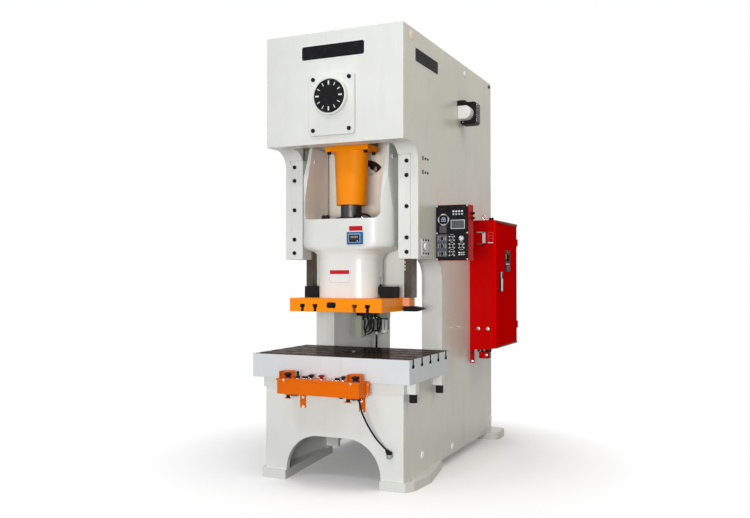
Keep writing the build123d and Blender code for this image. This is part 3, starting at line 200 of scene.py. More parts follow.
cream = paint("cream_enamel", (0.745, 0.755, 0.715))
# Lighter, warmer cream for the inside of the head: painted light where the inside lies in shade
inner_cream_painted_light = paint("inner_enamel_painted_light", (0.9, 0.84, 0.755), gloss=0.42, vary=0.06, grime=0.5)
cool_cream = paint("bolster_enamel", (0.66, 0.685, 0.7), gloss=0.4, vary=0.04)
# Darker, warmer copy of the cream for the side plates' outer faces: painted shade with a warm cast
side_cream_painted_shade = paint("side_enamel_painted_shade", (0.735, 0.725, 0.645), vary=0.04)
orange = paint("orange_enamel", (0.95, 0.275, 0.0), 0.36, vary=0.03, grime=0.06, edge=0.003, coat=0.16, shine=0.1)
console_orange = sheet_paint("control_box_enamel", (0.76, 0.138, 0.0), 0.4, grime=0.12, edge=0.0012, shine=0.12)
red = sheet_paint("red_enamel", (0.6, 0.0, 0.0), 0.42)
# Brighter red than the cabinet's for the door, which faces the dimmer side: painted light
door_red_painted_light = sheet_paint("door_enamel_painted_light", (0.84, 0.0, 0.0), 0.45, shine=0.0)
grey = paint("grey_enamel", (0.2, 0.215, 0.225), gloss=0.4)
green_grey = paint("air_unit_enamel", (0.42, 0.44, 0.35), gloss=0.42, vary=0.1)
pale = paint("filler_enamel", (0.93, 0.93, 0.91), gloss=0.3, grime=0.1)
beige = paint("filler_beige", (0.85, 0.76, 0.56), gloss=0.3, grime=0.1)
primer = paint("bare_patch", (0.88, 0.34, 0.17), gloss=0.6, vary=0.15, grime=0.7)

ROUND = (9, 9, 9)
guide_steel = steel("oiled_guide_steel", (0.085, 0.068, 0.055), rough=0.34, stretch=(60, 60, 0.8), marks=0.6)
ground = steel("ground_steel", (0.5, 0.48, 0.46), rough=0.28)
table_top = steel(
    "bolster_top_steel", (0.115, 0.07, 0.05), rough=0.15, stretch=(0.6, 30, 30), marks=0.12, stain=0.85,
    metallic=0.72, Specular_IOR_Level=0.0, Specular_Tint=(0.1, 0.045, 0.015, 1),
)
black_steel = steel(
    "black_oxide_steel", (0.011, 0.011, 0.012), rough=0.45, stretch=ROUND, metallic=0.0, Specular_IOR_Level=0.1
)
dark_steel = steel("screw_steel", (0.085, 0.08, 0.08), stretch=(1.5, 1.5, 90), marks=0.5)
bright = steel("bright_steel", (0.78, 0.78, 0.77), rough=0.2, stretch=ROUND, marks=0.1)
bronze = steel("bearing_bronze", (0.55, 0.33, 0.12), rough=0.35)
brass = steel("pipe_brass", (0.62, 0.42, 0.16), stretch=ROUND)
elbow_grey = steel("elbow_metal", (0.36, 0.37, 0.38), rough=0.35, stretch=ROUND)
iron = cast("gear_iron", (0.06, 0.03, 0.018), rough=0.75)
dark_iron = cast("wheel_iron", (0.09, 0.085, 0.08))

MATT = {"Specular_IOR_Level": 0.06}
black_plastic = plastic("black_plastic", (0.012, 0.012, 0.014), 0.36, **MATT)
dial_black = plastic("dial_black", (0.012, 0.012, 0.013), 0.42, **MATT)
rubber = plastic("black_rubber", (0.014, 0.014, 0.015), 0.6, 500, **MATT)
cable_black = plastic("cable_jacket", (0.012, 0.012, 0.013), 0.45, 700, **MATT)
red_plastic = plastic("red_plastic", (0.26, 0.008, 0.008), **MATT)
white_plastic = plastic("white_plastic", (0.82, 0.82, 0.8))
blue_plastic = plastic("blue_plastic", (0.012, 0.14, 0.38), 0.4, **MATT)
dark_blue = plastic("dark_blue_plastic", (0.02, 0.05, 0.16))
cap_blue = plastic("handle_cap", (0.012, 0.02, 0.06), 0.45, **MATT)
green_lamp = plastic("green_lamp", (0.35, 0.55, 0.03), 0.25)
label_white = plastic("label_white", (0.78, 0.79, 0.8), 0.4)
label_red = plastic("label_red", (0.55, 0.012, 0.02), 0.45, **MATT)
label_black = plastic("label_black", (0.009, 0.009, 0.01), 0.45, **MATT)
panel_black = plastic("panel_black", (0.01, 0.01, 0.012), 0.4, 300, **MATT)
strip_grey = plastic("panel_grey", (0.1, 0.1, 0.125), 0.45, 120, **MATT)
manifold_white = plastic("manifold_white", (0.88, 0.88, 0.87), 0.5, 150)
pale_grey = plastic("pale_grey_plastic", (0.5, 0.51, 0.53), 0.4)
gauge_blue = plastic("gauge_blue", (0.3, 0.37, 0.5), 0.4)
faded_red = plastic("faded_label", (0.75, 0.1, 0.09), 0.4)
# Dark red for the lips along the door's edges: painted shade
lip_red_painted_shade = plastic("lip_red_painted_shade", (0.2, 0.03, 0.008), 0.5, **MATT)
strip_dark = plastic("panel_dark_grey", (0.045, 0.045, 0.055), 0.45)
screen = plastic("screen_grey", (0.1, 0.105, 0.115), 0.35, 60, **MATT)
counter_screen = plastic("counter_screen", (0.035, 0.035, 0.032), 0.35, 60, **MATT)
bowl = plastic("clear_bowl", (0.9, 0.91, 0.89), 0.15, Transmission_Weight=0.15)

slot_materials = {
    "cream_paint": cream,
    "orange_paint": orange,
    "red_paint": red,
    "grey_paint": grey,
    "green_grey_paint": green_grey,
    "ground_steel": ground,
    "dark_steel": guide_steel,
    "black_steel": black_steel,
    "cast_iron": dark_iron,
    "bronze": bronze,
    "belt_rubber": rubber,
    "cable_jacket": cable_black,
    "black_plastic": black_plastic,
    "red_plastic": red_plastic,
    "white_plastic": white_plastic,
    "clear_bowl": bowl,
}
node_materials = {
    "console_box": console_orange,
    "console_brackets": console_orange,
    "adjusting_screw": dark_steel,
    "main_gear": iron,
    "dial": dial_black,
    "bolster": cool_cream,
    # The throat web takes the lighter inner cream: painted light
    "throat_web": inner_cream_painted_light,
    # The door takes the brighter red: painted light
    "cabinet_door": door_red_painted_light,
    "panel_face": panel_black,
}
for entry in frame["record"]["subparts"]:
    materials = frame["nodes"][entry["node"]].data.materials
    materials.clear()
    materials.append(node_materials.get(entry["node"], slot_materials[entry["material_slot"]]))


def coat_where(node, material, chosen):
    """Give the chosen faces of a CAD node a second material; chosen reads a face's centre and normal."""
    mesh = frame["nodes"][node].data
    mesh.materials.append(material)
    for face in mesh.polygons:
        if chosen(face.center, face.normal):
            face.material_index = len(mesh.materials) - 1


# Bolster: oiled top, with the walls of its slots painted black and the wall of its hole painted dark as shade
bolster_low, bolster_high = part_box("bolster")
bolster_top = bolster_high.z
slot_floor = bolster_top - 0.0585
die_centre = Vector((0, -0.675))
coat_where("bolster", table_top, lambda c, n: n.z > 0.9 and c.z > bolster_top - 0.001)
# Slot walls in black: painted shade in the slots
coat_where(
    "bolster",
    black_steel,
    lambda c, n: slot_floor < c.z < bolster_top - 0.001
    and abs(n.x) < 0.5
    and bolster_low.y + 0.002 < c.y < bolster_high.y - 0.002,
)
# Wall of the centre hole in dark steel: painted shade in the hole
coat_where("bolster", dark_steel, lambda c, n: abs(n.z) < 0.5 and (Vector(c[:2]) - die_centre).length < 0.08)

# Ram plate: slots and clamp recess painted black as shade, and the bare front of the right ear
plate_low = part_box("ram_plate")[0]
plate_front = plate_low.y
plate_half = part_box("ram_body")[1].x + 0.004
clamp_x, clamp_z = -0.024, plate_low.z + 0.0455
# Slot walls in black: painted shade in the slots
coat_where(
    "ram_plate",
    black_steel,
    lambda c, n: plate_low.z + 0.001 < c.z < plate_low.z + 0.053
    and abs(n.y) < 0.5
    and n.z > -0.9
    and abs(n.x) + abs(n.z) > 0.9
    and abs(c.x) < plate_half - 0.03
    and not 0.12 < c.x < 0.18,
)
# Clamp recess walls in black: painted shade in the recess
coat_where(
    "ram_plate",
    black_steel,
    lambda c, n: abs(c.x - clamp_x) < 0.036
    and abs(c.z - clamp_z) < 0.0195
    and plate_front + 0.001 < c.y < plate_front + 0.03,
)
coat_where("ram_plate", primer, lambda c, n: n.y < -0.9 and c.x > plate_half)

# Inner faces of the ram's wings in a lighter, warmer cream that paints light into the dim inside of the head, the pipe
# under the air unit and the outer faces of the side plates
wing_foot, pipe_top = 1.78, 0.884
coat_where(
    "ram_body", inner_cream_painted_light, lambda c, n: n.x * c.x < 0 and abs(n.x) > 0.7 and abs(c.x) > 0.2 and c.z > wing_foot
)
coat_where("air_unit", black_plastic, lambda c, n: c.z < pipe_top and abs(n.z) < 0.5)
# The side plates' outer faces take the darker, warmer cream: painted shade
for node in ("side_plate_left", "side_plate_right"):
    coat_where(node, side_cream_painted_shade, lambda c, n: abs(c.x) > 0.5 and n.x * c.x > 0.35)

FRONT, BACK, LEFT, RIGHT, UP, DOWN = (0, -1, 0), (0, 1, 0), (-1, 0, 0), (1, 0, 0), (0, 0, 1), (0, 0, -1)
SIDES = (-1, 1)


def placed(name, data, body):
    """Put a mesh or a curve into the scene as a piece that rides on a body."""
    piece = bpy.data.objects.new(name, data)
    scene.collection.objects.link(piece)
    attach(piece, body)
    return piece


class Maker:
    """Makes pieces in metres in the machine's frame, one after the other; index picks one of a piece's materials."""

    def __init__(self):
        self.bm = bmesh.new()

    def block(self, low, high, radius, index=0):
        """Box between two corners with rounded edges."""
        low, high = Vector(low), Vector(high)
        place = Matrix.Translation((low + high) / 2) @ Matrix.Diagonal((*(high - low), 1))
        corners = bmesh.ops.create_cube(self.bm, size=1, matrix=place)["verts"]
        for face in (face for vert in corners for face in vert.link_faces):
            face.material_index = index
        edges = list(dict.fromkeys(edge for vert in corners for edge in vert.link_edges))
        bmesh.ops.bevel(self.bm, geom=edges, offset=radius, segments=2, affect="EDGES", profile=0.5)

    def turned(self, centre, axis, profile, segments=32, index=0, ring=False):
        """Turned shape: profile is (distance along the axis, radius); its ends are capped, or joined in a ring."""
        axis, centre = Vector(axis).normalized(), Vector(centre)
        side = axis.orthogonal().normalized()
        across = axis.cross(side)
        rings = []
        for along, radius in profile:
            angles = [2 * pi * step / segments for step in range(segments if radius > 0 else 1)]
            spots = [centre + axis * along + (side * cos(a) + across * sin(a)) * radius for a in angles]
            rings.append([self.bm.verts.new(spot) for spot in spots])
        faces = []
        for lower, upper in zip(rings, rings[1:] + rings[:1] if ring else rings[1:]):
            for step in range(segments):
                a, b = lower[step % len(lower)], lower[(step + 1) % len(lower)]
                c, d = upper[(step + 1) % len(upper)], upper[step % len(upper)]
                corners = list(dict.fromkeys((a, b, c, d)))
                if len(corners) > 2:
                    faces.append(self.bm.faces.new(corners))
        for circle in () if ring else (rings[0], rings[-1]):
            if len(circle) > 2:
                faces.append(self.bm.faces.new(circle))
        for face in faces:
            face.material_index = index

    def plate(self, centre, normal, up, width, height, thickness, corner=0.0, index=0):
        """Thin plate with rounded corners, standing on a surface."""
        centre, normal, up = Vector(centre), Vector(normal).normalized(), Vector(up).normalized()
        right = up.cross(normal)
        outline = []
        steps = 5 if corner > 0 else 0
        for sx, sy, start in ((1, 1, 0), (-1, 1, 90), (-1, -1, 180), (1, -1, 270)):
            for step in range(steps + 1):
                angle = radians(start + 90 * step / max(steps, 1))
                x = sx * (width / 2 - corner) + corner * cos(angle)
                y = sy * (height / 2 - corner) + corner * sin(angle)
                outline.append(centre + right * x + up * y)
        back = [self.bm.verts.new(spot) for spot in outline]
        front = [self.bm.verts.new(spot + normal * thickness) for spot in outline]
        faces = [self.bm.faces.new(front), self.bm.faces.new(back[::-1])]
        for k in range(len(outline)):
            j = (k + 1) % len(outline)
            faces.append(self.bm.faces.new((back[k], back[j], front[j], front[k])))
        for face in faces:
            face.material_index = index

    def front(self, x, y, z, width, height, thickness, corner=0.0, index=0):
        """Plate that faces the front."""
        self.plate((x, y, z), FRONT, UP, width, height, thickness, corner, index)

    def side(self, x, y, z, width, height, thickness, corner=0.0, index=0):
        """Plate that faces the right side."""
        self.plate((x, y, z), RIGHT, UP, width, height, thickness, corner, index)

    def holed_plate(self, centre, width, height, thickness, hole):
        """Plate across X with a round hole; width runs along Y and height along Z."""
        centre = Vector(centre)
        steps = 32
        loops = []
        for depth in (0, thickness):
            outer, inner = [], []
            for step in range(steps):
                angle = 2 * pi * (step + 0.5) / steps
                reach = min(width / 2 / max(abs(cos(angle)), 1e-6), height / 2 / max(abs(sin(angle)), 1e-6))
                for loop, radius in ((outer, reach), (inner, hole)):
                    spot = centre + Vector((depth, radius * cos(angle), radius * sin(angle)))
                    loop.append(self.bm.verts.new(spot))
            loops += [outer, inner]
        low_out, low_in, high_out, high_in = loops
        for first, second in ((low_out, high_out), (high_out, high_in), (high_in, low_in), (low_in, low_out)):
            for step in range(steps):
                after = (step + 1) % steps
                self.bm.faces.new((first[step], first[after], second[after], second[step]))

    def bolt(self, centre, axis, across, height, index=0, washer=True):
        """Hexagon bolt head on a washer; across is the radius to its corners."""
        centre, axis = Vector(centre), Vector(axis)
        lift = height * 0.2 if washer else 0.0
        if washer:
            ring = ((0, across * 1.25), (lift * 0.8, across * 1.25), (lift, across * 1.2))
            self.turned(centre, axis, ring, 28, index)
        head = ((0, across), (height * 0.82, across), (height, across * 0.86))
        self.turned(centre + axis * lift, axis, head, 6, index)

    def screw(self, centre, axis, radius, index=0, cross=1):
        """Round-head screw with a cross slot; cross is the slot's material."""
        head = ((0, 1), (0.25, 0.98), (0.5, 0.75), (0.6, 0.35), (0.62, 0))
        self.turned(centre, axis, [(radius * a, radius * b) for a, b in head], 20, index)
        top = Vector(centre) + Vector(axis) * radius * 0.5
        for width, height in ((0.22, 1.1), (1.1, 0.22)):
            self.plate(top, axis, UP, radius * width, radius * height, radius * 0.16, index=cross)

    def done(self, name, material, body="frame", smooth=40):
        """Finish the mesh as a piece that rides on a body, and start anew."""
        bmesh.ops.recalc_face_normals(self.bm, faces=self.bm.faces)
        mesh = bpy.data.meshes.new(name)
        self.bm.to_mesh(mesh)
        self.bm.clear()
        for used in material if isinstance(material, tuple) else (material,):
            mesh.materials.append(used)
        mesh.polygons.foreach_set("use_smooth", [True] * len(mesh.polygons))
        mesh.set_sharp_from_angle(angle=radians(smooth))
        return placed(name, mesh, body)


p = Maker()


def disc(radius, height):
    """Profile of a round disc."""
    return ((0, radius), (height, radius), (height, 0))


def stub(radius, height, bevel, inset):
    """Profile of a round stub whose end is chamfered."""
    return ((0, radius), (height - bevel, radius), (height, radius - inset), (height, 0))


def collar(outer, height, bevel, inset, inner):
    """Profile of a ring on a surface whose outer edge is chamfered."""
    return ((0, outer), (height - bevel, outer), (height, outer - inset), (height, inner), (0, inner))


def middle(node):
    """Centre of a CAD node's box."""
    low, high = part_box(node)
    return (low + high) / 2


def hose(name, points, radius, material, body):
    """Round hose along a smooth line through control points."""
    curve = bpy.data.curves.new(name, "CURVE")
    curve.dimensions = "3D"
    curve.bevel_depth = radius
    curve.bevel_resolution = 4
    curve.use_fill_caps = True
    curve.resolution_u = 10
    spline = curve.splines.new("NURBS")
    spline.points.add(len(points) - 1)
    for point, place in zip(spline.points, points):
        point.co = (*place, 1)
    spline.order_u = 3
    spline.use_endpoint_u = True
    curve.materials.append(material)
    return placed(name, curve, body)


# Camera at the photograph's viewing angle, fitted to its straight edges
PHOTO_WIDTH, LENS_PIXELS, SENSOR = 750, 823.6, 36
camera_data = bpy.data.cameras.new("camera")
camera_data.sensor_width = SENSOR
camera_data.lens = LENS_PIXELS / PHOTO_WIDTH * SENSOR
camera_data.clip_end = 200
camera = bpy.data.objects.new("camera", camera_data)
camera.location = (2.5327, -5.881, 1.4017)
camera.rotation_euler = (radians(91.0), 0, radians(24.4))
scene.collection.objects.link(camera)
scene.camera = camera

# Control cable, a free cord along the route of its solid
cable_points = [
    (0.262, -1.122, 0.594),
    (0.27, -1.112, 0.525),
    (0.298, -1.09, 0.446),
    (0.333, -1.066, 0.372),
    (0.372, -1.046, 0.313),
    (0.411, -1.03, 0.272),
]
cable = hose("control_cable_line", cable_points, 0.006, cable_black, "frame")
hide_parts("control_cable")

# Floor and light
FLOOR_REACH = 40
floor_mesh = bpy.data.meshes.new("studio_floor")
floor_corners = [(FLOOR_REACH * x, FLOOR_REACH * y, 0) for x, y in ((-1, -1), (1, -1), (1, 1), (-1, 1))]
floor_mesh.from_pydata(floor_corners, [], [(0, 1, 2, 3)])
floor = bpy.data.objects.new("studio_floor", floor_mesh)
scene.collection.objects.link(floor)
floor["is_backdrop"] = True


def join(tree, kind, first, second, factor=None):
    """Add or mix two shaders; factor is an output."""
    made = add_node(tree, kind)
    start = 0 if factor is None else 1
    if factor is not None:
        tree.links.new(factor, made.inputs["Fac"])
    tree.links.new(first.outputs[0], made.inputs[start])
    tree.links.new(second.outputs[0], made.inputs[start + 1])
    return made


def backdrop(tree, seen, unseen):
    """Seen shader for rays that look at the backdrop, directly or in metal and glass, and unseen for its light."""
    path = add_node(tree, "LightPath")
    looks = path.outputs["Is Camera Ray"]
    for ray in ("Is Glossy Ray", "Is Transmission Ray"):
        larger = add_node(tree, "Math")
        larger.operation = "MAXIMUM"
        tree.links.new(looks, larger.inputs[0])
        tree.links.new(path.outputs[ray], larger.inputs[1])
        looks = larger.outputs[0]
    return join(tree, "MixShader", unseen, seen, looks)


# The floor is white with a soft shadow near the machine, and fades to plain white further out
floor_shader = Shader("studio_floor")
floor_shader.tree.nodes.remove(floor_shader.bsdf)
tree = floor_shader.tree
floor_bounce = add_node(tree, "BsdfDiffuse", Color=(0.32, 0.32, 0.32, 1))
floor_diffuse = add_node(tree, "BsdfDiffuse", Color=(0.94, 0.94, 0.94, 1))
floor_glow = add_node(tree, "Emission", Strength=0.13)
floor_lit = join(tree, "AddShader", floor_diffuse, floor_glow)
floor_white = add_node(tree, "Emission", Strength=1.0)
flat = add_node(tree, "VectorMath")
flat.operation = "LENGTH"
tree.links.new(floor_shader.place.outputs["Object"], flat.inputs[0])
fade = floor_shader.spread(flat, 0, 1, start=1.05, end=1.85, output="Value")[0]
floor_seen = join(tree, "MixShader", floor_lit, floor_white, fade.outputs["Result"])
floor_mix = backdrop(tree, floor_seen, floor_bounce)
tree.links.new(floor_mix.outputs[0], floor_shader.out.inputs["Surface"])
floor_mesh.materials.append(floor_shader.material)

world = bpy.data.worlds.new("studio")
scene.world = world
world.use_nodes = True
tree = world.node_tree
tree.nodes.clear()
sky_seen = add_node(tree, "Background", Color=(1, 1, 1, 1), Strength=1.0)
sky_light = add_node(tree, "Background", Color=(0.97, 0.98, 1, 1), Strength=0.4)
world_mix = backdrop(tree, sky_seen, sky_light)
tree.links.new(world_mix.outputs[0], add_node(tree, "OutputWorld").inputs["Surface"])

# Large soft area lamps: name, place, target, size, power and colour
for name, place, target, size, power, colour in (
    ("fill", (1.9, -6.9, 1.3), (0, -0.6, 2.0), (2.0, 1.2), 236, (1, 1, 1)),
    ("key", (-0.6, -6.4, 7.4), (0, -0.9, 2.0), (1.1, 1.1), 90, (1, 1, 1)),
    ("top", (0.0, -1.0, 7.5), (0, 0, 0), (4.0, 4.0), 150, (1, 1, 1)),
    ("side", (3.6, 0.2, 5.0), (0.5, 0, 2.7), (1.2, 1.2), 24, (1.0, 0.84, 0.5)),
):
    data = bpy.data.lights.new(name, "AREA")
    data.shape = "RECTANGLE"
    data.size, data.size_y = size
    data.energy = power
    data.color = colour
    lamp = bpy.data.objects.new(name, data)
    lamp.location = place
    lamp.rotation_euler = (Vector(target) - Vector(place)).to_track_quat("-Z", "Y").to_euler()
    lamp.visible_camera = False
    scene.collection.objects.link(lamp)

scene.view_settings.view_transform = "Standard"

frame_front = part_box("head_shell")[0].y
side_x = 0.513

# Bare name plates: a pale border round a black field, with a rivet near each corner
plate_border, rivet_inset = 0.018, 0.014
for name, centre, facing, (width, height), corner in (
    ("front_name_plate", Vector((0, frame_front, 2.8975)), FRONT, (0.486, 0.11), 0.01),
    ("side_name_plate", Vector((side_x, -0.56, 2.8685)), RIGHT, (0.454, 0.107), 0.004),
):
    p.plate(centre, facing, UP, width, height, 0.0014, corner)
    p.plate(centre, facing, UP, width - plate_border, height - plate_border, 0.0022, corner * 0.6, 1)
    across = Vector(UP).cross(Vector(facing))
    for sx, sz in product(SIDES, SIDES):
        rivet = centre + across * sx * (width / 2 - rivet_inset) + Vector(UP) * sz * (height / 2 - rivet_inset)
        p.turned(rivet, facing, ((0, 0.0028), (0.0028, 0.0028), (0.0036, 0.0018), (0.0038, 0)), 12)
    p.done(name, (label_white, label_black))

# Raised ring round the dial, and two small screws on the cover plate
dial_centre = middle("dial")
dial_centre.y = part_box("dial")[0].y
cover_face = -1.01
rise = cover_face - dial_centre.y - 0.003
outer_edge = ((0, 0.1265), (rise - 0.004, 0.1265), (rise - 0.001, 0.1252), (rise, 0.1225))
inner_edge = ((rise, 0.116), (rise - 0.001, 0.1142), (rise - 0.004, 0.1132), (0, 0.1132))
p.turned((dial_centre.x, cover_face, dial_centre.z), FRONT, outer_edge + inner_edge, 96, ring=True)
p.done("dial_ring", cream)
for x, z in ((0.139, 2.475), (-0.144, 2.667)):
    p.screw((x, cover_face, z), FRONT, 0.0055)
p.done("cover_screws", (bright, black_steel))

# Dial ticks, one for every 30 degrees and broader at each quarter, and a fine rim
for step in range(12):
    angle = radians(30 * step)
    outward = Vector((sin(angle), 0, cos(angle)))
    length, width = (0.027, 0.01) if step % 3 == 0 else (0.023, 0.0052)
    p.plate(dial_centre + outward * 0.0865, FRONT, outward, width, length, 0.0011, 0.001)
p.done("dial_ticks", white_plastic, "crank")
p.turned(dial_centre, FRONT, ((0, 0.107), (0.0012, 0.107), (0.0012, 0.1045), (0, 0.1045)), 96, ring=True)
p.done("dial_trim", black_plastic, "crank")

# Counter, red strip and bare labels on the ram
ram_front, barrel_front = -0.88, -0.862
counter_face = ram_front - 0.0165
p.block((0.058, ram_front - 0.012, 1.597), (0.177, ram_front + 0.001, 1.681), 0.003)
p.block((0.072, ram_front - 0.015, 1.608), (0.163, ram_front - 0.01, 1.671), 0.002, 5)
p.block((0.077, counter_face, 1.612), (0.158, ram_front - 0.01, 1.665), 0.002, 1)
p.front(0.1175, counter_face, 1.641, 0.066, 0.034, 0.0006, 0.002, 2)
for k in range(5):
    p.front(0.0955 + 0.011 * k, counter_face - 0.0006, 1.647, 0.0045, 0.013, 0.0006, index=5)
p.turned((0.142, counter_face, 1.619), FRONT, ((0, 0.0045), (0.003, 0.0045), (0.004, 0)), 20, 4)
counter_parts = (blue_plastic, black_plastic, counter_screen, label_black, bright, pale_grey)
p.done("stroke_counter", counter_parts, "ram")
p.front(0.1215, ram_front, 1.7055, 0.1, 0.032, 0.001, 0.002)
p.done("counter_strip", label_red, "ram")
p.front(-0.01, barrel_front, 1.4105, 0.147, 0.026, 0.001, 0.001)
p.front(-0.01, barrel_front, 1.3675, 0.15, 0.058, 0.0008, 0.002, 1)
p.front(-0.01, barrel_front, 1.3675, 0.146, 0.054, 0.0013, 0.002, 2)
p.done("ram_labels", (label_red, pale_grey, label_white), "ram")

# Blind plugs on both faces of the ram's wings
wing_inner, wing_outer = 0.289, 0.3165
plug = ((0, 0.0135), (0.004, 0.0135), (0.006, 0.011), (0.0065, 0))
for side in SIDES:
    p.turned((side * wing_inner, -0.7, 2.2), (-side, 0, 0), plug, 24)
    p.turned((side * wing_outer, -0.706, 2.205), (side, 0, 0.07), [(a, b * 1.25) for a, b in plug], 24)
p.done("wing_plugs", cream, "ram")

# Clamp screw in the front of the ram plate
clamp_y = plate_front + 0.028
p.turned((clamp_x - 0.012, clamp_y, clamp_z), FRONT, stub(0.0215, 0.025, 0.003, 0.0025), 6)
p.turned((clamp_x + 0.016, clamp_y, clamp_z), FRONT, stub(0.015, 0.018, 0.002, 0.003), 28)
p.done("shank_clamp_screw", black_steel, "ram", smooth=25)

# Nuts at both ends of the ram plate's slots; all but one slot have T-nuts
slot_x = (-plate_half + 0.102, -plate_half + 0.199, plate_half - 0.102, plate_half - 0.199)
under = plate_low.z
for x, start in product(slot_x, (plate_front + 0.005, -0.6)):
    end = start + 0.04
    p.block((x - 0.0165, start, under + 0.031), (x + 0.0165, end, under + 0.0505), 0.0015)
    if x != slot_x[3]:
        p.block((x - 0.0095, start + 0.001, under + 0.0005), (x + 0.0095, end - 0.001, under + 0.0312), 0.001)
p.done("slot_nuts", black_steel, "ram")

# Clamping bolt that hangs in the outer right slot, with a washer and two nuts
bolt_x, bolt_y = slot_x[2], plate_front + 0.024
thread = [(0, 0.0)]
for k in range(56):
    thread.append((0.0025 * k + 0.0006, 0.008 if k % 2 else 0.0092))
thread += [(0.1405, 0.0062), (0.1405, 0)]
p.turned((bolt_x, bolt_y, under + 0.031), DOWN, thread, 20)
washer = ((0, 0.021), (0.002, 0.0225), (0.005, 0.0225), (0.006, 0.021), (0.006, 0.0095), (0, 0.0095))
p.turned((bolt_x, bolt_y, under - 0.05), DOWN, washer, 32, ring=True)
nut = ((0, 0.0095), (0, 0.016), (0.002, 0.0178), (0.016, 0.0178), (0.018, 0.016), (0.018, 0.0095))
for drop in (0.057, 0):
    p.turned((bolt_x, bolt_y, under - drop), DOWN, nut, 6, ring=True)
p.done("clamping_bolt", black_steel, "ram", smooth=28)

# Oil fittings on the inside of the ram's front wall, and the oil lines over its rim
wall_y, pocket_floor = ram_front + 0.04, 1.64
p.block((-0.166, wall_y - 0.001, 1.7), (-0.106, wall_y + 0.022, 1.752), 0.003)
for x in (-0.15, -0.122):
    p.block((x - 0.0125, wall_y, 1.752), (x + 0.0125, wall_y + 0.024, 1.798), 0.003)
    p.turned((x, wall_y + 0.012, 1.798), UP, stub(0.009, 0.008, 0.002, 0.003), 16)
p.done("ram_fitting", black_steel, "ram")
p.block((0.196, wall_y - 0.001, 1.705), (0.236, -0.8, 1.74), 0.003)
p.turned((0.06, -0.8, pocket_floor), UP, stub(0.013, 0.058, 0.003, 0.003), 16)
p.turned((0.14, -0.812, 1.7), UP, ((0, 0.009), (0.07, 0.009), (0.074, 0.012), (0.086, 0.012), (0.088, 0)), 16, 1)
p.block((0.12, wall_y - 0.001, 1.69), (0.16, -0.8, 1.712), 0.003)
p.done("ram_oil_block", (black_steel, bright), "ram")
oil_lines = (
    ((0.06, -0.8, 1.69), (0.062, -0.806, 1.772), (0.086, -0.812, 1.802), (0.132, -0.812, 1.808),
     (0.178, -0.812, 1.8), (0.212, -0.815, 1.77), (0.216, -0.82, 1.73)),
    ((0.06, -0.8, 1.69), (0.066, -0.792, 1.76), (0.098, -0.786, 1.79), (0.14, -0.785, 1.786),
     (0.176, -0.8, 1.776), (0.205, -0.812, 1.735)),
)
for k, points in enumerate(oil_lines):
    hose(f"ram_oil_line_{k + 1}", points, 0.0078, cable_black, "ram")

# Screw on the knockout bar's right block, and pale marks on the right guide bar
p.bolt((0.238, -0.728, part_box("knockout_bar")[1].z), UP, 0.009, 0.012)
p.done("block_screw", black_steel, "knockout")
bar_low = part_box("guide_bar_right")[0]
for z in (1.478, 1.452, 1.428):
    p.front(bar_low.x + 0.0075, bar_low.y, z, 0.007, 0.015, 0.0006, 0.002)
p.done("bar_marks", label_white, "ram")

# Oil pipes from the top of each gib up the inside of the head
gib_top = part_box("gib_right")[1].z
gib_x, gib_y = 0.424, -0.7
for side in SIDES:
    p.bolt((side * gib_x, gib_y, gib_top), UP, 0.011, 0.014, washer=False)
p.done("gib_fittings", (brass, black_steel))
pipe_route = ((gib_x, gib_y, 0.01), (gib_x, gib_y, 0.045), (0.405, -0.712, 0.062), (0.396, -0.72, 0.095),
              (0.396, -0.72, 0.25))
for name, side in (("left", -1), ("right", 1)):
    points = [(side * x, y, gib_top + lift) for x, y, lift in pipe_route]
    hose(f"gib_oil_pipe_{name}", points, 0.0042, brass, "frame")

# Filler plugs on both side plates, the top front one larger and beige
cap = ((0, 0.025), (0.002, 0.0248), (0.0055, 0.0215), (0.0075, 0.013), (0.008, 0))
for place, (y, z) in enumerate(((-0.846, 2.977), (0.274, 2.964), (-0.652, 0.174), (-0.035, 0.114), (0.958, 0.165))):
    wide, index = (1.0, 0) if place else (1.25, 1)
    for side in SIDES:
        p.turned((side * side_x, y, z), (side, 0, 0), [(a, b * wide) for a, b in cap], 36, index)
p.done("side_plugs", (pale, beige))

# Grease points on both side plates, and the small oil manifold on the right one
sheet = 0.003
p.block((side_x, -0.69, 1.516), (side_x + sheet, -0.52, 1.64), 0.001, 1)
grease = ((0, 0.0078), (0.0035, 0.0078), (0.0045, 0.006), (0.006, 0.006), (0.007, 0.003), (0.007, 0))
for z, lift, tall, sides in (
    (2.189, 0, 0.015, SIDES),
    (2.094, 0, 0.015, SIDES),
    (1.629, sheet, 0.008, (1,)),
    (1.538, sheet, 0.008, (1,)),
):
    for side in sides:
        face_x = side * (side_x + lift)
        low_x, high_x = sorted((face_x, face_x + side * 0.004))
        p.block((low_x, -0.646, z - tall), (high_x, -0.635, z + tall), 0.0012)
        for y in (-0.594, -0.548):
            p.turned((face_x, y, z), (side, 0, 0), grease, 16)
manifold = (side_x + sheet, -0.622, 1.584)
p.turned(manifold, RIGHT, stub(0.0285, 0.004, 0.001, 0.0015))
p.turned(manifold, RIGHT, ((0.004, 0.0245), (0.012, 0.0245), (0.016, 0.021), (0.017, 0.01), (0.015, 0)), index=2)
for side in (1, -1):
    p.bolt((side * side_x, 0.93, 2.998), (side, 0, 0), 0.011, 0.008)
p.done("grease_points", (label_black, manifold_white, white_plastic))

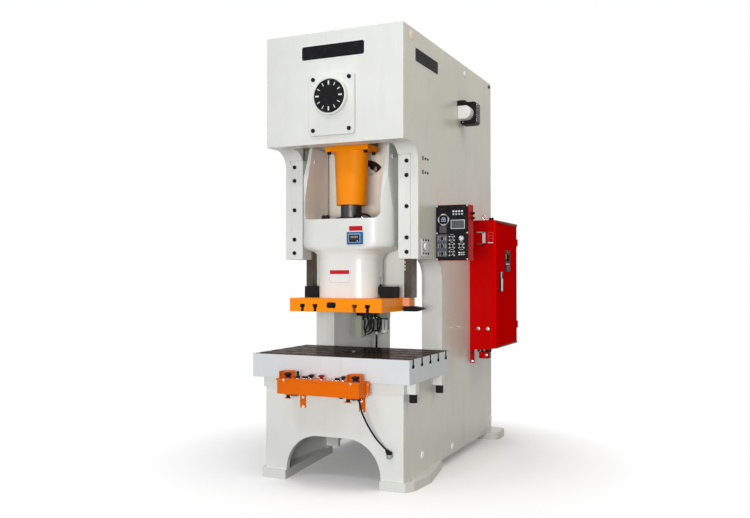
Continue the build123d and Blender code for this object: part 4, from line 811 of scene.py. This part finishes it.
# Bolted covers on the left side, the roof and the belt guard, with vent slots in the guard
guard_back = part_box("flywheel_guard")[1].y
wheel_z = middle("flywheel").z
rear_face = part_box("rear_plate")[1].y
roof_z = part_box("head_shell")[1].z
cover, bolt_inset = 0.006, 0.024
for centre, normal, up, width, height in (
    (Vector((-side_x, 0.3, 2.52)), LEFT, UP, 0.46, 0.46),
    (Vector((-side_x, 0.55, 0.42)), LEFT, UP, 0.3, 0.22),
    (Vector((0, 0.1, roof_z)), UP, BACK, 0.52, 0.7),
):
    p.plate(centre, normal, up, width, height, cover, 0.02)
    normal, up = Vector(normal), Vector(up)
    across = up.cross(normal)
    for u, v in product((-1, 0, 1), (-1, 0, 1)):
        if u or v:
            spot = centre + across * u * (width / 2 - bolt_inset) + up * v * (height / 2 - bolt_inset)
            p.bolt(spot + normal * cover, normal, 0.01, 0.008, 1)
p.turned((0, guard_back, wheel_z), BACK, stub(0.12, 0.008, 0.002, 0.003), 64)
bolt_circle = 0.1
for step in range(6):
    angle = radians(60 * step)
    spot = (bolt_circle * cos(angle), guard_back + 0.008, wheel_z + bolt_circle * sin(angle))
    p.bolt(spot, BACK, 0.01, 0.008, 1)
for row, side in product(range(9), SIDES):
    p.bolt((side * 0.452, rear_face, 1.62 + 0.17 * row), BACK, 0.011, 0.009, 1)
for x, y in product((-0.38, 0.38), (-0.85, 0.8)):
    p.turned((x, y, roof_z), UP, stub(0.03, 0.004, 0.001, 0.002))
    p.turned((x, y, roof_z + 0.004), UP, disc(0.012, 0.003), 6, 1)
p.done("service_covers", (cream, black_steel))
for x, row in product((-0.078, 0.078), range(7)):
    z = wheel_z + 0.17 + 0.034 * row
    p.plate((x, guard_back, z), BACK, UP, 0.118, 0.016, 0.001, 0.004, 1)
    p.block((x - 0.061, guard_back, z + 0.004), (x + 0.061, guard_back + 0.01, z + 0.013), 0.003)
p.done("guard_vents", (cream, label_black))

# Fittings on top of the control box: collars round the stems, small buttons and a socket
console_top, console_low, row_y = 0.712, 0.612, -1.146
for spots, inner, outer, height, index in (
    ((-0.248, 0.248), 0.0165, 0.026, 0.0052, 1),
    ((-0.072, 0.002, 0.162), 0.0115, 0.0165, 0.0062, 0),
):
    for x in spots:
        profile = collar(outer, height, height * 0.3, 0.002, inner)
        p.turned((x, row_y, console_top), UP, profile, 32, index, ring=True)
cone = ((0, 0.0205), (0.0025, 0.0205), (0.0028, 0.0148), (0, 0.0148))
p.turned((-0.172, row_y, console_top), UP, cone, ring=True)
small = ((0, 0.0105), (0.004, 0.0105), (0.004, 0.0085), (0.012, 0.0085), (0.0145, 0.006), (0.015, 0))
for x in (-0.129, -0.107, 0.11, 0.127):
    p.turned((x, row_y, console_top), UP, disc(0.0125, 0.003), 24)
    p.turned((x, row_y, console_top + 0.003), UP, small, 24, 2)
p.block((0.034, row_y - 0.018, console_top), (0.096, row_y + 0.018, console_top + 0.004), 0.001, 3)
for x in (0.046, 0.084):
    p.turned((x, row_y, console_top + 0.004), UP, disc(0.004, 0.003), 12)
p.done("console_fittings", (bright, dark_blue, black_plastic, green_grey))
for x in (-0.248, 0.24):
    p.screw((x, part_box("console_box")[0].y, 0.703), FRONT, 0.008)
for x, z in product((-0.218, 0.218), (0.566, 0.502)):
    p.bolt((x, frame_front - 0.006, z), FRONT, 0.0082, 0.007)
for x, z in product((-0.309, 0.309), (0.632, 0.688)):
    p.screw((x, -1.093, z), FRONT, 0.005)
p.done("console_screws", (bright, black_steel))
knob = ((0, 0.006), (0.01, 0.006), (0.01, 0.0125), (0.026, 0.0135), (0.03, 0.011), (0.03, 0))
for x in (-0.236, 0.204):
    p.turned((x, -1.162, console_low), DOWN, knob, 20)
    p.plate((x - 0.006, -1.158, console_low - 0.03), DOWN, FRONT, 0.044, 0.03, 0.003, 0.004, 1)
    p.block((x + 0.012, -1.18, console_low - 0.0125), (x + 0.075, -1.148, console_low + 0.001), 0.002, 2)
p.block((0.14, -1.17, console_low - 0.012), (0.166, -1.15, console_low + 0.001), 0.002)
p.turned((0.24, -1.15, console_low), DOWN, stub(0.011, 0.02, 0.002, 0.003), 6)
p.done("console_knobs", (black_plastic, console_orange, dark_iron))

# Mushroom heads of the five push buttons on their stems; shares of the head's height and radius
mushroom = ((0, 0.6), (0.3, 0.95), (0.42, 1), (0.56, 0.97), (0.74, 0.82), (0.88, 0.58), (0.97, 0.28), (1, 0))
for node, body, material, head, stem in (
    ("palm_button_left", "palm_left", black_plastic, 0.0215, 0.015),
    ("palm_button_right", "palm_right", black_plastic, 0.0215, 0.015),
    ("run_button", "run", black_plastic, 0.018, 0.0105),
    ("stop_button", "stop", black_plastic, 0.018, 0.0095),
    ("emergency_button", "emergency", red_plastic, 0.016, 0.0105),
):
    low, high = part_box(node)
    reach = (high.x - low.x) / 2
    base = high.z - low.z - head
    outline = [(0, stem), (base, stem)] + [(base + head * a, reach * b) for a, b in mushroom]
    p.turned(((low.x + high.x) / 2, (low.y + high.y) / 2, low.z), UP, outline, 40)
    head_piece = p.done(node + "_head", material, body, smooth=50)
    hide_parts(node)

# Cable elbow: round body on the front plate, with a dark gland nut that takes the cable
elbow_low, elbow_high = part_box("cable_elbow")
elbow_x, elbow_y, neck_z = (elbow_low.x + elbow_high.x) / 2, elbow_low.y + 0.019, elbow_low.z + 0.022
nut_seat = Vector((elbow_x - 0.003, elbow_y - 0.004, elbow_high.z - 0.016))
toward = Vector(cable_points[-1]) - nut_seat
reach = toward.length
shell = ((0, 0), (0.001, 0.008), (0.005, 0.015), (0.011, 0.0185), (0.03, 0.0185), (0.03, 0))
p.turned((elbow_x, elbow_y, elbow_low.z), UP, shell, 36)
p.turned((elbow_x, elbow_y, elbow_low.z + 0.03), UP, stub(0.0188, 0.02, 0.004, 0.0028), 36, 1)
p.turned((elbow_x, elbow_y, neck_z), BACK, ((0, 0.016), (elbow_high.y - elbow_y, 0.016)), 28)
p.turned((elbow_x, elbow_high.y - 0.005, neck_z), BACK, ((0, 0.0195), (0.005, 0.0195)), 36)
p.turned(nut_seat, toward, ((0, 0.0145), (reach * 0.55, 0.0145), (reach * 0.62, 0.0125)), 6, 1)
p.turned(nut_seat + toward * 0.6, toward, ((0, 0.0115), (reach * 0.28, 0.01), (reach * 0.4, 0.0066)), 28, 1)
elbow = p.done("cable_elbow_body", (elbow_grey, black_plastic))
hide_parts("cable_elbow")

# Operator panel: gauge, display, label bars, marked strip, knobs and screws on its black face
face_y = -0.382
gauge = Vector((0.571, face_y, 1.781))
p.turned(gauge, FRONT, collar(0.0385, 0.004, 0.001, 0.001, 0.0362), 48, 1, ring=True)
p.turned(gauge, FRONT, disc(0.0355, 0.0022), 48)
for quarter, part in product(range(4), range(9)):
    angle = radians(90 * quarter + 5.5 * (part - 4))
    outward = Vector((sin(angle), 0, cos(angle)))
    p.plate(gauge + outward * 0.0372, FRONT, outward, 0.0042, 0.0075, 0.005, index=2)
for lift, count in ((0.0125, 2), (0.0015, 3), (-0.0105, 3)):
    for k in range(count):
        p.front(gauge.x + (k - (count - 1) / 2) * 0.0125, face_y, gauge.z + lift, 0.0095, 0.0088, 0.0036, index=3)
p.done("panel_gauge", (label_black, pale_grey, label_white, gauge_blue))
for lift, width, height, thickness, corner, index in (
    (0, 0.103, 0.064, 0.003, 0.003, 0),
    (0.003, 0.091, 0.052, 0.0006, 0.002, 2),
    (0.0034, 0.084, 0.045, 0.0008, 0.002, 1),
):
    p.front(0.6765, face_y - lift, 1.7465, width, height, thickness, corner, index)
p.done("panel_display", (pale_grey, screen, label_black))
knob_rows = (1.542, 1.595, 1.648)
push_places = [(0.632, z) for z in knob_rows] + [(0.703, 1.595)]
p.front(0.559, face_y, 1.597, 0.078, 0.158, 0.0012, 0.004, 1)
p.front(0.566, face_y, 1.712, 0.052, 0.048, 0.001, 0.004, 3)
for (z, index), k in product(((1.838, 0), (1.818, 2)), range(4)):
    p.front(0.644 + 0.0215 * k, face_y, z, 0.0125, 0.0115, 0.001, index=index)
for x, z, wide in ((0.632, 1.569, 0.026), (0.703, 1.569, 0.026), (0.632, 1.622, 0.022), (0.703, 1.622, 0.022),
                   (0.632, 1.675, 0.022)):
    p.front(x, face_y, z, wide, 0.0035, 0.001, index=2)
for row, k in product(range(2), range(3)):
    p.front(0.687 + 0.016 * k, face_y, 1.548 - 0.014 * row, 0.012, 0.008, 0.001, index=2 if k else 0)
for (x, z), sx, sz in product(push_places, SIDES, SIDES):
    p.front(x + sx * 0.0175, face_y, z + sz * 0.0135, 0.0085, 0.0075, 0.0022, 0.001)
for z, k in product(knob_rows, range(5)):
    p.front(0.531 + 0.0005 * k, face_y, z + 0.006 * (k - 2), 0.007, 0.003, 0.002, index=2)
    p.front(0.586, face_y, z + 0.0062 * (k - 2), 0.01 - 0.001 * k, 0.0032, 0.002, index=2)
p.done("panel_marks", (label_white, strip_grey, pale_grey, strip_dark))
for x, z in product((0.521, 0.745), (1.501, 1.686, 1.877)):
    p.screw((x, face_y, z), FRONT, 0.0062, 0, 2)
for z in knob_rows:
    p.turned((0.557, face_y, z), FRONT, collar(0.0195, 0.009, 0.003, 0.002, 0.0162), 32, 1, ring=True)
    p.turned((0.557, face_y - 0.012, z), FRONT, ((0, 0.0135), (0.01, 0.0125), (0.012, 0.01), (0.012, 0)), 24, 2)
    p.block((0.5535, face_y - 0.03, z - 0.0135), (0.5605, face_y - 0.022, z + 0.0135), 0.001, 2)
for x, z in push_places:
    p.turned((x, face_y, z), FRONT, collar(0.0145, 0.01, 0.002, 0.0015, 0.0112), 28, 1, ring=True)
p.done("panel_controls", (white_plastic, bright, black_plastic))
knob_x, knob_z = middle("panel_knob").xz
knob_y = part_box("panel_knob")[0].y
p.turned((knob_x, face_y - 0.0005, knob_z), FRONT, collar(0.0172, 0.007, 0.002, 0.001, 0.015), 28, ring=True)
p.front(knob_x - 0.008, knob_y, knob_z - 0.002, 0.01, 0.006, 0.0006, 0.002, 1)
p.plate((knob_x + 0.005, knob_y, knob_z + 0.01), FRONT, (0.5, 0, 1), 0.004, 0.01, 0.0006, index=1)
p.done("knob_marker", (white_plastic, label_black), "knob")

# Cable glands on the right side of the panel box
panel_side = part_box("operator_box")[1].x
gland = ((0, 0.012), (0.004, 0.013), (0.004, 0.01), (0.012, 0.01), (0.018, 0.0085), (0.022, 0.006), (0.022, 0))
for z in (1.826, 1.792):
    p.turned((panel_side, -0.3, z), RIGHT, gland, 20)
p.done("panel_glands", black_plastic)

# Card frame, bare label, locks and lifting eye on the cabinet
cabinet_low, cabinet_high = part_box("electric_cabinet")
cab_y, cab_top = cabinet_low.y, cabinet_high.z
for x, z, width, height, thickness, corner, index in (
    (0.61, 1.7265, 0.072, 0.008, 0.003, 0.001, 1),
    (0.61, 1.6345, 0.072, 0.009, 0.003, 0.001, 2),
    (0.6335, 1.68, 0.024, 0.1, 0.003, 0.002, 0),
    (0.6, 1.68, 0.046, 0.084, 0.001, 0, 3),
    (0.687, 1.643, 0.046, 0.007, 0.0015, 0, 0),
    *((0.687, z, 0.04, 0.0025, 0.0012, 0, 4) for z in (1.722, 1.7, 1.678)),
    *((x, 1.69, 0.0022, 0.066, 0.0012, 0, 4) for x in (0.666, 0.708)),
):
    p.front(x, cab_y, z, width, height, thickness, corner, index)
p.done("cabinet_labels", (label_white, pale_grey, strip_grey, red, faded_red))
for x in (0.587, 0.664):
    p.turned((x, cab_y, 0.966), FRONT, ((0, 0.015), (0.004, 0.015), (0.007, 0.0135), (0.008, 0.0095), (0.008, 0)), 28)
    p.block((x - 0.0125, cab_y - 0.016, 0.968), (x + 0.0125, cab_y - 0.006, 0.975), 0.0015)
    p.block((x - 0.0035, cab_y - 0.014, 0.951), (x + 0.0035, cab_y - 0.006, 0.968), 0.001, 1)
p.done("cabinet_locks", (bright, black_steel))
fitting_y = cab_y + 0.055
boss = ((0, 0.016), (0.004, 0.016), (0.007, 0.009), (0.01, 0.007), (0.01, 0))
turns = [2 * pi * step / 12 for step in range(12)]
p.turned((0.614, fitting_y, cab_top), UP, boss, 24)
eye = [(0.0045 * sin(angle), 0.014 + 0.0045 * cos(angle)) for angle in turns]
p.turned((0.614, fitting_y, cab_top + 0.026), (0.3, 1, 0), eye, 28, ring=True)
p.done("lifting_eye", bright)
for x in (0.668, 0.688):
    p.turned((x, fitting_y, cab_top), UP, gland, 20)
p.done("cabinet_top_glands", black_plastic)

# Glands, a small junction box and the support's bolts under the cabinet
door_low, door_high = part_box("cabinet_door")
cab_floor = door_low.z - 0.002
under_gland = ((0, 0.014), (0.005, 0.014), (0.005, 0.011), (0.018, 0.011), (0.024, 0.008), (0.03, 0.007), (0.03, 0))
for x in (0.572, 0.6, 0.64, 0.668):
    p.turned((x, cab_y + 0.048, cab_floor), DOWN, under_gland, 20)
p.block((0.584, cab_y + 0.018, cab_floor - 0.08), (0.664, cab_y + 0.08, cab_floor - 0.028), 0.003, 1)
p.bolt((0.646, cab_y + 0.018, cab_floor - 0.052), FRONT, 0.008, 0.006, 2)
p.bolt((0.528, cab_y + 0.008, 0.706), FRONT, 0.0078, 0.006, 2)
p.bolt((0.528, cab_y + 0.008, 0.77), FRONT, 0.0065, 0.005)
p.done("cabinet_glands", (black_plastic, red, bright))

# Door: drip lips painted dark red as shade along its top and bottom edges, switch plate and the handle's bright lever
door_face, lip_end = 0.727, 1.03
lip_y = door_low.y + 0.002
for low_z, high_z, depth in (
    (door_high.z - 0.02, door_high.z - 0.001, 0.006),
    (door_low.z + 0.001, door_low.z + 0.014, 0.004),
):
    p.block((door_face - 0.001, lip_y, low_z), (door_face + depth, lip_end, high_z), 0.001)
p.done("door_lips", lip_red_painted_shade, "door")
switch_y, switch_z = middle("main_switch").yz
plate_x = door_face + 0.004
p.holed_plate((door_face, switch_y, switch_z), 0.148, 0.118, 0.004, 0.03)
p.block((door_face - 0.0005, switch_y - 0.074, switch_z - 0.112), (plate_x, switch_y + 0.074, switch_z - 0.061), 0.001)
p.side(plate_x, switch_y - 0.01, switch_z + 0.046, 0.05, 0.01, 0.0008, index=2)
p.side(plate_x, switch_y, switch_z - 0.052, 0.1, 0.009, 0.001, index=1)
p.side(plate_x, switch_y, switch_z - 0.086, 0.06, 0.04, 0.001, 0.002, 2)
p.side(plate_x, switch_y - 0.048, switch_z + 0.006, 0.02, 0.04, 0.0012, 0.002, 3)
p.done("switch_plate", (label_black, label_white, strip_grey, green_lamp), "door")
handle_low, handle_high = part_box("door_handle")
handle_x, handle_y, handle_top = handle_high.x, middle("door_handle").y, handle_high.z
for reach, half, low_z, high_z, back, radius, index in (
    (0.007, 0.0135, handle_low.z + 0.004, handle_top - 0.054, 0.002, 0.004, 0),
    (0.005, 0.0165, handle_top - 0.052, handle_top - 0.001, 0.003, 0.003, 1),
):
    p.block((handle_x - back, handle_y - half, low_z), (handle_x + reach, handle_y + half, high_z), radius, index)
p.turned((handle_x + 0.005, handle_y, handle_top - 0.026), RIGHT, stub(0.01, 0.003, 0.001, 0.002), 24, 1)
p.done("handle_lever", (label_white, cap_blue), "handle")

# Lubricator: screws beside the tank, and ribs and a bare plate on the pump
pump_low, pump_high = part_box("lubricator_pump")
tank_low, tank_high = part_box("lubricator_tank")
for z in (tank_low.z - 0.01, tank_high.z + 0.012):
    p.screw((side_x + 0.02, tank_high.y, z), FRONT, 0.005, 0, 0)
for k in range(9):
    z = pump_low.z + 0.022 + k * 0.016
    rib_start = (side_x + 0.024, tank_high.y + 0.006, z)
    p.block(rib_start, (pump_high.x + 0.003, pump_high.y - 0.006, z + 0.006), 0.001, 1)
plate_y = (tank_high.y + pump_high.y) / 2
p.side(pump_high.x + 0.003, plate_y, pump_low.z + 0.098, 0.06, 0.04, 0.0012, 0.002, 2)
p.done("lubricator_details", (bright, black_plastic, strip_grey))

# Air unit: valve block, fittings, loops of air line, and the guard of the filter bowl
air_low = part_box("air_unit")[0]
air_face, plate_top = -0.309, 1.06
p.block((air_low.x + 0.002, 0.128, plate_top), (air_face + 0.008, 0.505, plate_top + 0.024), 0.003)
for y in (0.16, 0.235, 0.31, 0.385):
    p.block((air_face - 0.002, y - 0.022, plate_top - 0.036), (air_face + 0.012, y + 0.022, plate_top - 0.001), 0.002)
    p.turned((air_face + 0.01, y, plate_top - 0.026), RIGHT, stub(0.008, 0.012, 0.002, 0.002), 16, 3)
for y, z in ((0.14, 0.9), (0.14, 1.01), (0.625, 1.045)):
    p.screw((air_face, y, z), RIGHT, 0.006, 3, 0)
p.turned((air_face, 0.412, 0.905), RIGHT, stub(0.016, 0.014, 0.004, 0.003), 24, 1)
p.side(air_face, 0.19, 0.925, 0.07, 0.04, 0.0015, 0.003, 1)
p.done("air_unit_details", (black_plastic, label_white, strip_grey, bright))
air_lines = (
    ((0.16, 1.034), (0.15, 1.0), (0.132, 0.96), (0.15, 0.93), (0.205, 0.925), (0.25, 0.95), (0.262, 1.0)),
    ((0.235, 1.034), (0.215, 0.99), (0.165, 0.96), (0.14, 0.93), (0.15, 0.905), (0.17, 0.9)),
    ((0.31, 1.034), (0.318, 1.0), (0.3, 0.95), (0.262, 0.915), (0.225, 0.905)),
    ((0.31, 1.034), (0.345, 1.046), (0.41, 1.035), (0.442, 0.99), (0.42, 0.94), (0.37, 0.918), (0.33, 0.93)),
    ((0.385, 1.034), (0.392, 1.005), (0.36, 0.975), (0.372, 0.935), (0.405, 0.92), (0.412, 0.908)),
)
for k, points in enumerate(air_lines):
    # Each line stands out from the plate between its two ends, and further than the line before it
    lifts = [0.018 + 0.003 * k] * len(points)
    lifts[0] = lifts[-1] = 0.008
    route = [(air_face + lift, y, z) for lift, (y, z) in zip(lifts, points)]
    hose(f"air_line_{k + 1}", route, 0.0058, cable_black, "frame")
bowl_low, bowl_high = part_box("filter_bowl")
bowl_middle = middle("filter_bowl")
bowl_reach = (bowl_high.x - bowl_low.x) / 2
inner, outer = bowl_reach + 0.0005, bowl_reach + 0.0025
band = ((0, inner), (0, outer), (0.012, outer), (0.012, inner))
p.turned((bowl_middle.x, bowl_middle.y, bowl_high.z - 0.014), UP, band, 48, ring=True)
for degrees in (-110, -70, -10, 30, 120, 200):
    outward = Vector((cos(radians(degrees)), sin(radians(degrees)), 0))
    p.plate(bowl_middle + Vector((0, 0, 0.008)) + outward * bowl_reach, outward, UP, 0.007, 0.088, 0.002, 0.002)
p.done("bowl_guard", black_plastic)

size = {"cad": [list(corner) for corner in cad_box], "visual": [list(corner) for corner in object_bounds()]}
